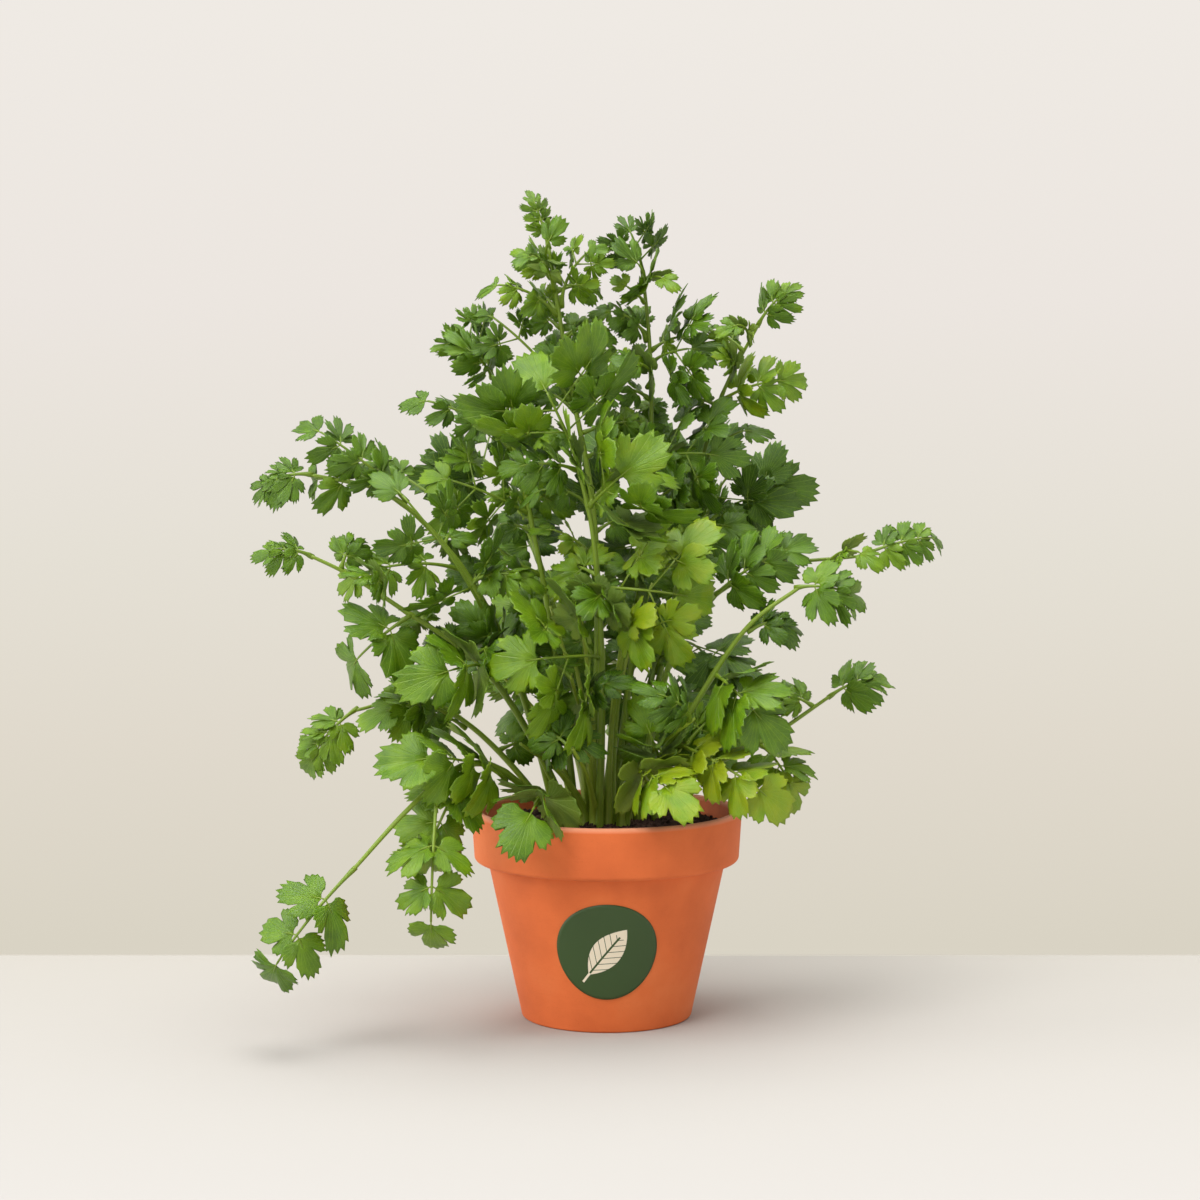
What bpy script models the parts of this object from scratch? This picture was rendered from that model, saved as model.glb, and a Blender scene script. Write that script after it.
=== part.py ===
"""Potted coriander: a terracotta pot filled with compost, and a loose bush of coriander growing in it.

Metres, +Z up. The origin is on the pot's axis, on the surface that the pot stands on, and -Y is the
front. Every stem and every leaf is a piece of its own, held a small gap away from what it grows on.
"""
import math
import random

import bmesh
import bpy
from mathutils import Matrix, Vector
from mathutils.bvhtree import BVHTree

MM = 0.001

# Pot, turned
RIM_RADIUS = 0.075
RIM_FOOT_RADIUS = 0.0735
RIM_HEIGHT = 0.0284
POT_HEIGHT = 0.1157
BODY_TOP_RADIUS = 0.0658
BASE_RADIUS = 0.047
WALL = 0.0060
FLOOR = 0.0090
DRAIN_RADIUS = 0.0100
LIP_ROUND = 0.0026
BASE_BEVEL = 0.0016
POT_SIDES = 48

# Compost
SOIL_DROP = 0.0117
SOIL_DOME = 0.0035
SOIL_SIDES = 32

# Sticker on the front of the pot
LABEL_RADIUS = 0.0275
LABEL_HEIGHT = 0.0465
LABEL_THICKNESS = 0.0004
LABEL_RINGS = 4
LABEL_SIDES = 28

# Plant
GAP = 0.0003
LEAF_THICKNESS = 0.0009
STALK_WIDTH = 0.0021
STALK_TIP_WIDTH = 0.0015
STEM_SPANS = 8
FOOT_RISE = 0.008
LEAFLET_BASE = 0.0024
# A leaflet's outline, how far it reaches past the stalk, and the spacing of pairs and of sprays, all as
# shares of its length. Then the shares of the stalk that may bear leaflets, and of its last pair.
FAN = [(0.46, -0.34), (0.92, -0.32), (0.92, 0.32), (0.46, 0.34)]
END_REACH = 0.85
BARE_END = 0.42
PAIR_SPACING = 0.52
SPRAY_SPACING = 1.1
LEAFY_SHARE = 0.72
LAST_PAIR = 0.93
# How leaflets stand, in degrees: splayed from the stalk, dipped below it, and rolled so that each
# passes over the next one towards the tip, as roof tiles do.
LEAFLET_SPLAY = (68, 54)
LEAFLET_DIP = (4, 16)
LEAFLET_ROLL = 26
END_DIP = (14, 24)
# A spray's stalk and side leaflets, as shares of its end leaflet, and how these stand.
SPRAY_STALK = 0.75
SPRAY_SIDE = 0.85
SPRAY_SPLAY = math.radians(82)
SPRAY_DIP = math.radians(12)
TURN_STEP = math.radians(5.0)
TURN_RINGS = 12

SOIL_LEVEL = POT_HEIGHT - SOIL_DROP

# Stems: radius at the foot and at the tip, then the route in millimetres, with heights above the
# compost. The first point is the foot, where the stem leaves the compost upright.
STEMS = {
    "stem_01": (2.4, 0.9, [(-8, -10, 0), (-5, -14, 107), (-8, -10, 183), (-20, -6, 248), (-32, -4, 322)]),
    "stem_02": (2.1, 0.9, [(4, 2, 0), (16, 8, 110), (24, 14, 199), (24, 16, 265), (20, 14, 308)]),
    "stem_03": (2.0, 0.8, [(14, 8, 0), (34, 18, 104), (48, 22, 182), (64, 18, 240), (84, 8, 280)]),
    "stem_04": (2.2, 0.9, [(-18, -2, 0), (-28, -2, 95), (-42, 4, 172), (-56, 8, 228), (-67, 6, 264)]),
    "stem_05": (2.3, 1.0, [(-29, -10, 0), (-55, -28, 104), (-84, -40, 156), (-118, -46, 188), (-158, -50, 198)]),
    "stem_06": (2.2, 0.9, [(-22, -20, 0), (-64, -44, 92), (-110, -60, 128), (-138, -68, 147), (-156, -70, 156)]),
    "stem_07": (1.9, 0.9, [(-35, 2, 0), (-74, -4, 57), (-105, -10, 74), (-138, -16, 68)]),
    "stem_08": (2.2, 1.0, [(-31, -24, 0), (-63, -52, 43), (-82, -70, 42), (-104, -86, 24), (-132, -98, -6)]),
    "stem_09": (2.4, 1.0, [(-4, -25, 0), (-3, -38, 100), (-8, -50, 170), (-18, -56, 212)]),
    "stem_10": (2.1, 0.8, [(17, -7, 0), (45, -22, 118), (85, -28, 146), (138, -20, 153)]),
    "stem_11": (2.1, 1.0, [(11, -20, 0), (42, -44, 66), (76, -52, 118), (102, -54, 138)]),
    "stem_12": (1.9, 0.9, [(27, 2, 0), (58, 5, 34), (90, 7, 50), (125, 6, 74)]),
    "stem_13": (2.2, 1.0, [(-10, 10, 0), (-22, 40, 90), (-40, 60, 150), (-56, 70, 186)]),
    "stem_14": (2.2, 1.0, [(7, 17, 0), (26, 48, 80), (46, 64, 140), (58, 72, 172)]),
}

# Leaves: the stem, how far up it the leaf is joined, where its tip reaches in millimetres, the length
# of a leaflet, the pairs along the stalk, whether these are sprays of three leaflets, the way the
# upper side leans (0 up, 90 to the front), and how far the stalk arches, both in degrees.
LEAVES = [
    ("stem_01", 1.00, (-42, -4, 354), 12, 3, False, 50, 25),
    ("stem_01", 0.90, (-6, -16, 330), 15, 2, True, 35, 70),
    ("stem_01", 0.74, (-62, -14, 300), 16, 2, True, 50, 50),
    ("stem_02", 1.00, (10, 2, 340), 15, 2, True, 55, 40),
    ("stem_02", 0.84, (56, -10, 270), 24, 2, True, 70, 60),
    ("stem_02", 0.66, (62, -32, 216), 27, 2, True, 70, 60),
    ("stem_03", 1.00, (98, 2, 298), 18, 2, False, 60, 50),
    ("stem_03", 0.84, (108, -8, 256), 25, 2, False, 70, 60),
    ("stem_04", 1.00, (-84, 4, 286), 16, 2, True, 50, 60),
    ("stem_04", 0.80, (-114, 6, 246), 21, 2, False, 40, 50),
    ("stem_04", 0.66, (-96, -20, 210), 23, 2, True, 65, 40),
    ("stem_04", 0.50, (-142, 14, 232), 19, 2, False, 40, 30),
    ("stem_05", 1.00, (-181, -50, 194), 20, 3, False, 50, 50),
    ("stem_05", 0.80, (-166, -52, 232), 22, 3, False, 60, 40),
    ("stem_05", 0.62, (-148, -66, 148), 24, 2, False, 60, 70),
    ("stem_05", 0.48, (-122, -66, 204), 24, 2, True, 60, 50),
    ("stem_06", 1.00, (-176, -76, 160), 17, 2, False, 50, 50),
    ("stem_06", 0.72, (-146, -92, 98), 33, 1, False, 75, 70),
    ("stem_06", 0.50, (-90, -106, 98), 32, 2, False, 80, 60),
    ("stem_07", 1.00, (-172, -24, 32), 21, 3, False, 55, 60),
    ("stem_07", 0.62, (-130, -44, 62), 25, 3, False, 60, 60),
    ("stem_08", 1.00, (-186, -108, -72), 29, 2, False, 70, 60),
    ("stem_08", 0.62, (-92, -108, -54), 27, 2, False, 85, 60),
    ("stem_08", 0.50, (-118, -104, 6), 29, 2, False, 75, 50),
    ("stem_08", 0.30, (-112, -106, 46), 31, 3, False, 65, 50),
    ("stem_08", 0.14, (-52, -108, 22), 30, 2, False, 70, 60),
    ("stem_09", 1.00, (-42, -74, 264), 33, 2, True, 80, 60),
    ("stem_09", 0.85, (14, -92, 214), 33, 2, True, 75, 60),
    ("stem_09", 0.64, (44, -94, 140), 31, 2, True, 80, 60),
    ("stem_09", 0.46, (-50, -98, 104), 31, 2, True, 80, 70),
    ("stem_10", 1.00, (191, -10, 166), 17, 3, False, 60, 50),
    ("stem_10", 0.62, (108, -50, 168), 25, 3, False, 65, 60),
    ("stem_11", 1.00, (134, -60, 128), 23, 2, False, 60, 60),
    ("stem_11", 0.62, (88, -96, 66), 32, 2, False, 80, 60),
    ("stem_11", 0.36, (84, -102, 26), 27, 3, False, 75, 60),
    ("stem_11", 0.20, (32, -108, 40), 28, 3, False, 75, 60),
    ("stem_12", 1.00, (156, 6, 88), 21, 2, False, 50, 50),
    ("stem_12", 0.62, (106, -20, 22), 26, 2, False, 60, 70),
    ("stem_13", 1.00, (-84, 76, 214), 32, 2, True, 40, 60),
    ("stem_13", 0.60, (-66, 84, 96), 32, 2, True, 10, 70),
    ("stem_14", 1.00, (76, 76, 200), 32, 2, True, 40, 60),
    ("stem_14", 0.58, (74, 84, 80), 32, 2, True, 10, 70),
    ("stem_14", 0.80, (6, 56, 236), 32, 2, True, 60, 50),
]

TERRACOTTA = (0.68, 0.20, 0.075)
COMPOST = (0.055, 0.030, 0.022)
STICKER = (0.020, 0.095, 0.030)
STEM_GREEN = (0.11, 0.19, 0.012)
LEAF_GREENS = [(0.075, 0.155, 0.018), (0.13, 0.23, 0.028), (0.045, 0.10, 0.010)]


def new_collection(name):
    collection = bpy.data.collections.new(name)
    bpy.context.scene.collection.children.link(collection)
    return collection


def add_object(name, data, collection):
    piece = bpy.data.objects.new(name, data)
    collection.objects.link(piece)
    return piece


def paint(piece, colour, roughness):
    """Give the piece a material of its own."""
    material = bpy.data.materials.new(piece.name)
    material.use_nodes = True
    surface = material.node_tree.nodes["Principled BSDF"]
    surface.inputs["Base Color"].default_value = (*colour, 1.0)
    surface.inputs["Roughness"].default_value = roughness
    piece.data.materials.append(material)


def turned(name, profile, closed, sides, collection):
    """Turn a profile of (radius, height) points about the Z axis."""
    mesh = bpy.data.meshes.new(name)
    edges = [(i, i + 1) for i in range(len(profile) - 1)]
    if closed:
        edges.append((len(profile) - 1, 0))
    mesh.from_pydata([(radius, 0.0, height) for radius, height in profile], edges, [])
    piece = add_object(name, mesh, collection)
    screw = piece.modifiers.new("turn", "SCREW")
    screw.steps = sides
    screw.render_steps = sides
    screw.use_merge_vertices = True
    screw.merge_threshold = 0.00001
    screw.use_smooth_shade = True
    return piece


def corner_arc(centre, radius, start, end, steps=3):
    """Points of an arc about a (radius, height) centre, between two angles in degrees."""
    angles = [math.radians(start + (end - start) * i / steps) for i in range(steps + 1)]
    return [(centre[0] + radius * math.cos(a), centre[1] + radius * math.sin(a)) for a in angles]


def body_radius(height):
    """Outer radius of the pot's tapered body at a height."""
    rise = height / (POT_HEIGHT - RIM_HEIGHT)
    return BASE_RADIUS + (BODY_TOP_RADIUS - BASE_RADIUS) * rise


def inner_radius(height):
    """Inner radius of the pot: it follows the body up to the band, then opens to the lip."""
    band_foot = POT_HEIGHT - RIM_HEIGHT
    if height <= band_foot:
        return body_radius(height) - WALL
    share = (height - band_foot) / RIM_HEIGHT
    return (BODY_TOP_RADIUS + (RIM_RADIUS - BODY_TOP_RADIUS) * share) - WALL


def make_pot(collection):
    """A flower pot with a thick band at the rim and a drainage hole in its floor."""
    top = POT_HEIGHT
    band_foot = POT_HEIGHT - RIM_HEIGHT
    lip = corner_arc((RIM_RADIUS - LIP_ROUND, top - LIP_ROUND), LIP_ROUND, 90, 0)
    foot = corner_arc((RIM_FOOT_RADIUS - LIP_ROUND, band_foot + LIP_ROUND), LIP_ROUND, 0, -90, 2)
    base = [(BODY_TOP_RADIUS, band_foot), (body_radius(BASE_BEVEL), BASE_BEVEL), (BASE_RADIUS - BASE_BEVEL, 0.0)]
    hole = [(DRAIN_RADIUS, 0.0), (DRAIN_RADIUS, FLOOR)]
    inside = [(inner_radius(FLOOR), FLOOR), (inner_radius(band_foot), band_foot)]
    mouth = corner_arc((inner_radius(top) + LIP_ROUND, top - LIP_ROUND), LIP_ROUND, 180, 90)
    pot = turned("pot", lip + foot + base + hole + inside + mouth, True, POT_SIDES, collection)
    paint(pot, TERRACOTTA, 0.75)
    return pot


def soil_height(radius):
    """Height of the compost's gently domed top at a distance from the pot's axis."""
    edge = inner_radius(SOIL_LEVEL)
    return SOIL_LEVEL + SOIL_DOME * (1.0 - (radius / edge) ** 2)


def make_soil(collection):
    """The compost: it fills the pot below its domed top."""
    slack = GAP + RIM_RADIUS * (1.0 - math.cos(math.pi / POT_SIDES))
    edge = inner_radius(SOIL_LEVEL) - slack
    top = [(edge * share, soil_height(edge * share)) for share in (0.0, 0.3, 0.6, 0.85, 1.0)]
    band_foot = POT_HEIGHT - RIM_HEIGHT
    floor = FLOOR + GAP
    side = [(inner_radius(band_foot) - slack, band_foot), (inner_radius(floor) - slack, floor), (0.0, floor)]
    soil = turned("soil", top + side, False, SOIL_SIDES, collection)
    paint(soil, COMPOST, 0.95)
    return soil


def make_label(collection):
    """A thin round sticker that lies against the front of the pot."""
    mesh = bpy.data.meshes.new("label")
    shape = bmesh.new()
    slope = math.atan2(BODY_TOP_RADIUS - BASE_RADIUS, POT_HEIGHT - RIM_HEIGHT)

    def on_pot(reach, angle):
        height = LABEL_HEIGHT + reach * math.sin(angle) * math.cos(slope)
        radius = body_radius(height) + GAP + LABEL_THICKNESS / 2
        turn = reach * math.cos(angle) / body_radius(LABEL_HEIGHT)
        return shape.verts.new((radius * math.sin(turn), -radius * math.cos(turn), height))

    centre = on_pot(0.0, 0.0)
    rings = []
    for ring in range(1, LABEL_RINGS + 1):
        reach = LABEL_RADIUS * ring / LABEL_RINGS
        rings.append([on_pot(reach, math.tau * i / LABEL_SIDES) for i in range(LABEL_SIDES)])
    for i in range(LABEL_SIDES):
        j = (i + 1) % LABEL_SIDES
        shape.faces.new((centre, rings[0][i], rings[0][j]))
        for inner, outer in zip(rings, rings[1:]):
            shape.faces.new((inner[i], outer[i], outer[j], inner[j]))
    shape.to_mesh(mesh)
    shape.free()
    label = add_object("label", mesh, collection)
    shell = label.modifiers.new("thickness", "SOLIDIFY")
    shell.thickness = LABEL_THICKNESS
    shell.offset = 0.0
    paint(label, STICKER, 0.4)
    return label


def smooth_route(points, per_span=12):
    """Many points on a smooth curve through the route's own points, evenly paced for uneven spans."""
    ends = [2 * points[0] - points[1]] + points + [2 * points[-1] - points[-2]]
    curve = []
    for span in zip(ends, ends[1:], ends[2:], ends[3:]):
        pace = [0.0]
        for here, there in zip(span, span[1:]):
            pace.append(pace[-1] + math.sqrt((there - here).length))
        for step in range(per_span):
            t = pace[1] + (pace[2] - pace[1]) * step / per_span
            level = list(span)
            for reach in (1, 2):
                level = [here.lerp(there, (t - pace[i]) / (pace[i + reach] - pace[i]))
                         for i, (here, there) in enumerate(zip(level, level[1:]))]
            curve.append(level[0].lerp(level[1], (t - pace[1]) / (pace[2] - pace[1])))
    return curve + [points[-1]]


def point_along(curve, share):
    """The place and the direction at a share of the curve's length."""
    lengths = [(b - a).length for a, b in zip(curve, curve[1:])]
    left = share * sum(lengths)
    for a, b, length in zip(curve, curve[1:], lengths):
        if left <= length:
            return a.lerp(b, left / length), (b - a).normalized()
        left -= length
    return curve[-1].copy(), (curve[-1] - curve[-2]).normalized()


def stem_curve(name):
    """A stem's curve in metres. It leaves the compost upright, a gap above its surface."""
    route = STEMS[name][2]
    foot = Vector((route[0][0] * MM, route[0][1] * MM, 0.0))
    foot.z = soil_height(foot.xy.length) + GAP
    above = [Vector((x * MM, y * MM, SOIL_LEVEL + z * MM)) for x, y, z in route[1:]]
    return smooth_route([foot, foot + Vector((0.0, 0.0, FOOT_RISE))] + above)


def stem_radius(name, share):
    foot, tip, _ = STEMS[name]
    return (foot + (tip - foot) * share) * MM


def make_stem(name, collection):
    """A round stem that thins towards its tip."""
    curve = bpy.data.curves.new(name, "CURVE")
    curve.dimensions = "3D"
    curve.bevel_depth = 1.0
    curve.bevel_resolution = 2
    curve.use_fill_caps = True
    path = stem_curve(name)
    length = sum((b - a).length for a, b in zip(path, path[1:]))
    upright = FOOT_RISE / length
    shares = [0.0] + [upright + (1.0 - upright) * i / STEM_SPANS for i in range(STEM_SPANS + 1)]
    line = curve.splines.new("POLY")
    line.points.add(len(shares) - 1)
    for point, share in zip(line.points, shares):
        place, _ = point_along(path, share)
        point.co = (*place, 1.0)
        point.radius = stem_radius(name, share)
    stem = add_object(name, curve, collection)
    paint(stem, STEM_GREEN, 0.5)
    return stem


def leaf_frame(stem, share, tip, lean):
    """Where a leaf is joined, its own axes (X to its tip, Z its upper side), and its reach."""
    place, along = point_along(stem_curve(stem), share)
    goal = Vector((tip[0] * MM, tip[1] * MM, SOIL_LEVEL + tip[2] * MM))
    away = goal - place
    if share == 1.0:
        start = place + along * 2 * GAP
    else:
        outward = (away - along * away.dot(along)).normalized()
        start = place + outward * (stem_radius(stem, share) + STALK_WIDTH / 2 + 2 * GAP)
    forward = (goal - start).normalized()
    face = Vector((0.0, -math.sin(math.radians(lean)), math.cos(math.radians(lean))))
    upper = (face - forward * face.dot(forward)).normalized()
    side = upper.cross(forward)
    axes = Matrix((forward, side, upper)).transposed().to_4x4()
    return Matrix.Translation(start) @ axes, (goal - start).length


class Leaf:
    """A compound leaf in its own axes: an arched stalk with pairs of leaflets, or of side sprays of
    three leaflets, and a leaflet at its end."""

    def __init__(self, number):
        stem, share, tip, leaflet, pairs, sprays, lean, arch = LEAVES[number]
        chance = random.Random(number)
        self.place, reach = leaf_frame(stem, share, tip, lean)
        self.size = leaflet * MM
        self.sprays = sprays
        self.chord = max(reach - END_REACH * self.size, self.size)
        self.half_arch = math.radians(arch) / 2
        self.bow = self.chord / (2 * math.sin(self.half_arch))
        spacing = (SPRAY_SPACING if sprays else PAIR_SPACING) * self.size
        first = 1.0 - min(LEAFY_SHARE, (BARE_END * self.size + spacing * pairs) / self.chord)
        self.pairs = []
        for i in range(pairs):
            share = first + (LAST_PAIR - first) * i / max(pairs - 0.3, 0.7)
            self.pairs.append((share, [self.draw_leaflet(side, i / pairs, chance) for side in (-1, 1)]))
        self.end = (1, 0.0, math.radians(chance.uniform(*END_DIP)), math.radians(chance.uniform(-4, 4)), self.size)

    def draw_leaflet(self, side, rank, chance):
        """A side leaflet's or spray's side, splay, dip, roll and size, a little different each time."""
        splay = LEAFLET_SPLAY[0] + (LEAFLET_SPLAY[1] - LEAFLET_SPLAY[0]) * rank + chance.uniform(-4, 4)
        dip = LEAFLET_DIP[0] + (LEAFLET_DIP[1] - LEAFLET_DIP[0]) * rank + chance.uniform(-3, 3)
        roll = -side * (LEAFLET_ROLL + chance.uniform(-4, 4))
        size = self.size * (0.98 - 0.10 * rank) * chance.uniform(0.86, 1.06)
        return side, math.radians(splay), math.radians(dip), math.radians(roll), size

    def stalk(self, share):
        """The place, heading and upper side at a share of the stalk."""
        a = self.half_arch * (1.0 - 2.0 * share)
        place = Vector((self.bow * (math.sin(self.half_arch) - math.sin(a)), 0.0,
                        self.bow * (math.cos(a) - math.cos(self.half_arch))))
        return place, Vector((math.cos(a), 0.0, math.sin(a))), Vector((-math.sin(a), 0.0, math.cos(a)))


def turned_leaflet(heading, upper, side, splay, dip, roll):
    """The direction and the upper side of what grows beside a stalk, from its splay, dip and roll."""
    flat = heading * math.cos(splay) + upper.cross(heading) * side * math.sin(splay)
    forward = flat * math.cos(dip) - upper * math.sin(dip)
    raised = upper * math.cos(dip) + flat * math.sin(dip)
    return forward, Matrix.Rotation(roll, 3, forward) @ raised


def blade_point(origin, forward, upper, length, along, across):
    """A point of a leaflet's blade, which bends down towards its tip and its sides."""
    sink = 0.16 * along ** 2 + 0.22 * across ** 2
    return origin + length * (forward * along + upper.cross(forward) * across - upper * sink)


def add_leaflet(shape, base, origin, forward, upper, length):
    """A fan-shaped leaflet, joined to the stalk along the base edge."""
    rim = [shape.verts.new(blade_point(origin, forward, upper, length, *point)) for point in FAN]
    right, left = base
    for corners in ((right, rim[0], rim[1]), (right, rim[1], left), (left, rim[1], rim[2]), (left, rim[2], rim[3])):
        shape.faces.new(corners)


def add_spray(shape, base, origin, forward, upper, size, hand):
    """A short side stalk with a leaflet at its end and one on each side, the nearer one lower."""
    reach = SPRAY_STALK * size
    across = upper.cross(forward) * STALK_TIP_WIDTH / 2
    sections = [base]
    for along in (reach - LEAFLET_BASE, reach):
        place = origin + forward * along
        sections.append((shape.verts.new(place - across), shape.verts.new(place + across)))
    for (right, left), (next_right, next_left) in zip(sections, sections[1:]):
        shape.faces.new((right, next_right, next_left, left))
    near, far = sections[1:]
    middle = origin + forward * (reach - LEAFLET_BASE / 2)
    for side in (-1, 1):
        outward, raised = turned_leaflet(forward, upper, side, SPRAY_SPLAY, side * hand * SPRAY_DIP, 0.0)
        edge = (near[0], far[0]) if side < 0 else (far[1], near[1])
        add_leaflet(shape, edge, middle, outward, raised, SPRAY_SIDE * size)
    add_leaflet(shape, far, origin + forward * reach, forward, upper, size)


def leaf_surface(leaf):
    """The leaf's middle surface as one open sheet."""
    shape = bmesh.new()
    stations = [0.0, 0.4 * leaf.pairs[0][0]]
    for share, _ in leaf.pairs:
        stations += [share, share + LEAFLET_BASE / leaf.chord]
    stations.append(1.0)
    sections = []
    for share in stations:
        place, _, _ = leaf.stalk(share)
        half = (STALK_WIDTH + (STALK_TIP_WIDTH - STALK_WIDTH) * share) / 2
        sections.append([shape.verts.new(place + Vector((0.0, y, 0.0))) for y in (-half, half)])
    for (right, left), (next_right, next_left) in zip(sections, sections[1:]):
        shape.faces.new((right, next_right, next_left, left))
    for i, (share, leaflets) in enumerate(leaf.pairs):
        near, far = sections[2 * i + 2], sections[2 * i + 3]
        place, heading, upper = leaf.stalk(share + LEAFLET_BASE / leaf.chord / 2)
        for side, splay, dip, roll, length in leaflets:
            forward, raised = turned_leaflet(heading, upper, side, splay, dip, roll)
            base = (near[0], far[0]) if side < 0 else (far[1], near[1])
            if leaf.sprays:
                add_spray(shape, base, place, forward, raised, length, side)
            else:
                add_leaflet(shape, base, place, forward, raised, length)
    place, heading, upper = leaf.stalk(1.0)
    forward, raised = turned_leaflet(heading, upper, *leaf.end[:4])
    add_leaflet(shape, sections[-1], place, forward, raised, leaf.size)
    return shape


def turns():
    """Small turns about the place where a leaf is joined, the smallest first."""
    yield Matrix.Identity(4)
    for ring in range(1, TURN_RINGS + 1):
        for k in range(8):
            angle = math.tau * k / 8
            yaw = Matrix.Rotation(ring * TURN_STEP * math.cos(angle), 4, "Z")
            yield yaw @ Matrix.Rotation(ring * TURN_STEP * math.sin(angle), 4, "Y")


def solid_tree(piece):
    """A search tree of the piece's finished faces, in the world."""
    bpy.context.view_layer.update()
    finished = piece.evaluated_get(bpy.context.evaluated_depsgraph_get())
    mesh = finished.to_mesh()
    mesh.transform(piece.matrix_world)
    tree = BVHTree.FromPolygons([v.co for v in mesh.vertices], [p.vertices for p in mesh.polygons])
    finished.to_mesh_clear()
    return tree


def make_leaf(number, placed, collection):
    """A leaf, turned a little about its joint where it would touch a piece placed before it."""
    leaf = Leaf(number)
    name = f"leaf_{number + 1:02d}"
    mesh = bpy.data.meshes.new(name)
    shape = leaf_surface(leaf)
    shape.to_mesh(mesh)
    shape.free()
    piece = add_object(name, mesh, collection)
    shell = piece.modifiers.new("thickness", "SOLIDIFY")
    shell.offset = 0.0
    shell.thickness = LEAF_THICKNESS + 2 * GAP
    for turn in turns():
        piece.matrix_world = leaf.place @ turn
        tree = solid_tree(piece)
        if not any(tree.overlap(other) for other in placed):
            break
    shell.thickness = LEAF_THICKNESS
    paint(piece, LEAF_GREENS[number % len(LEAF_GREENS)], 0.5)
    return piece


def build():
    for old in list(bpy.data.objects):
        bpy.data.objects.remove(old)
    collection = new_collection("potted_coriander")
    pieces = [make_pot(collection), make_soil(collection), make_label(collection)]
    pieces += [make_stem(name, collection) for name in STEMS]
    placed = [solid_tree(piece) for piece in pieces]
    for number in range(len(LEAVES)):
        placed.append(solid_tree(make_leaf(number, placed, collection)))


build()
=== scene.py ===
import math
import random

import bpy
from mathutils import Matrix, Vector, noise
from mathutils.bvhtree import BVHTree


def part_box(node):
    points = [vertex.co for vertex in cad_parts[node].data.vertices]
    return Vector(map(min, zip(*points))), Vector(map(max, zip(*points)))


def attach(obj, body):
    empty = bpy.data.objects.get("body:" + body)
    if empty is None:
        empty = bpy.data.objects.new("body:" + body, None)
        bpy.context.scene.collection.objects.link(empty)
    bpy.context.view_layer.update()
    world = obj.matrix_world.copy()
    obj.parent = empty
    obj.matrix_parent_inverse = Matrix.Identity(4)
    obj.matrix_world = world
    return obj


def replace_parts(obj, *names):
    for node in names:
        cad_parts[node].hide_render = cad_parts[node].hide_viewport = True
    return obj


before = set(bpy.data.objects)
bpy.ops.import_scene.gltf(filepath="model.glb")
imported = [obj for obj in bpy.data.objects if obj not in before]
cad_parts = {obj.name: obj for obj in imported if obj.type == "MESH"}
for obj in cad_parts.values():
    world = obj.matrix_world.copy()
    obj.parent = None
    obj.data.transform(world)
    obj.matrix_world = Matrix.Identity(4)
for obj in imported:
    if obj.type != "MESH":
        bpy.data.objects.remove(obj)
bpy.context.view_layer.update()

scene = bpy.context.scene

# The studio. A pale floor, a little darker towards the back. Its far part, past the wall line, glows as a
# cream
# backdrop that lightens upwards: painted light in place of a lit wall, so no shadow falls on it. One big soft
# light stands high at the front left and a weaker one low at the left, in a lit room.
FLOOR_RADIUS = 6.0
FLOOR_SIDES = 64
FLOOR_FRONT = -0.6
WALL_LINE = 0.156
LINE_BLUR = 0.003
FLOOR_NEAR = (0.49, 0.475, 0.465, 1.0)
FLOOR_FAR = (0.44, 0.42, 0.385, 1.0)
BLACK = (0.0, 0.0, 0.0, 1.0)
# The backdrop's painted glow by how steeply the camera looks down at it: lighter further up.
WALL_SLOPES = (0.22, -0.22)
WALL_GLOW_COLOURS = [(0.03, (0.694, 0.651, 0.552)), (0.21, (0.745, 0.694, 0.604)), (0.38, (0.783, 0.745, 0.665)),
                (0.60, (0.839, 0.791, 0.745)), (0.84, (0.863, 0.823, 0.775))]
ROOM_COLOUR = (0.50, 0.50, 0.49, 1.0)
ROOM_HEIGHTS = (0.22, 0.5)
CEILING_COLOUR = (5.0, 4.95, 4.85, 1.0)
CEILING_HEIGHTS = (0.86, 0.93)
CAMERA_PLACE = (-0.0037, -1.422, 0.333)
CAMERA_PITCH = 0.0712
CAMERA_LENS = 77.4
# Each light: its name and strength, then its spread and its turns in degrees.
LIGHTS = [("key", 1.6, 28, (44, 0, -38)), ("side", 1.25, 40, (75, 0, -85))]


def new_object(name, data):
    made = bpy.data.objects.new(name, data)
    scene.collection.objects.link(made)
    return made


def new_material(name):
    """A material, its node tree and its surface shader."""
    material = bpy.data.materials.new(name)
    material.use_nodes = True
    return material, material.node_tree, material.node_tree.nodes["Principled BSDF"]


def add_node(kind, inputs=None, **settings):
    """A node in the tree that is being built, with values or links for its inputs."""
    made = tree.nodes.new(kind)
    for name, value in settings.items():
        setattr(made, name, value)
    for name, value in (inputs or {}).items():
        if isinstance(value, bpy.types.NodeSocket):
            tree.links.new(value, made.inputs[name])
        else:
            made.inputs[name].default_value = value
    return made


def link(start, end):
    tree.links.new(start, end)


def ramp(factor, stops):
    """A colour ramp through (place, colour) stops."""
    made = add_node("ShaderNodeValToRGB", {"Fac": factor})
    elements = made.color_ramp.elements
    while len(elements) < len(stops):
        elements.new(0.5)
    for element, (place, colour) in zip(elements, stops):
        element.position = place
        element.color = (*colour, 1.0)
    return made.outputs["Color"]


def maths(operation, first, second=0.0):
    return add_node("ShaderNodeMath", {0: first, 1: second}, operation=operation).outputs[0]


def times(first, second):
    return maths("MULTIPLY", first, second)


def between(value, low, high, start=0.0, end=1.0):
    """A value carried from one range to another."""
    given = {"Value": value, "From Min": low, "From Max": high, "To Min": start, "To Max": end}
    return add_node("ShaderNodeMapRange", given).outputs[0]


def blend(share, first, second, **settings):
    """A mix of two colours."""
    given = {0: share, 6: first, 7: second}
    return add_node("ShaderNodeMix", given, data_type="RGBA", **settings).outputs[2]


def split_axes(vector):
    return add_node("ShaderNodeSeparateXYZ", {0: vector}).outputs


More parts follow.
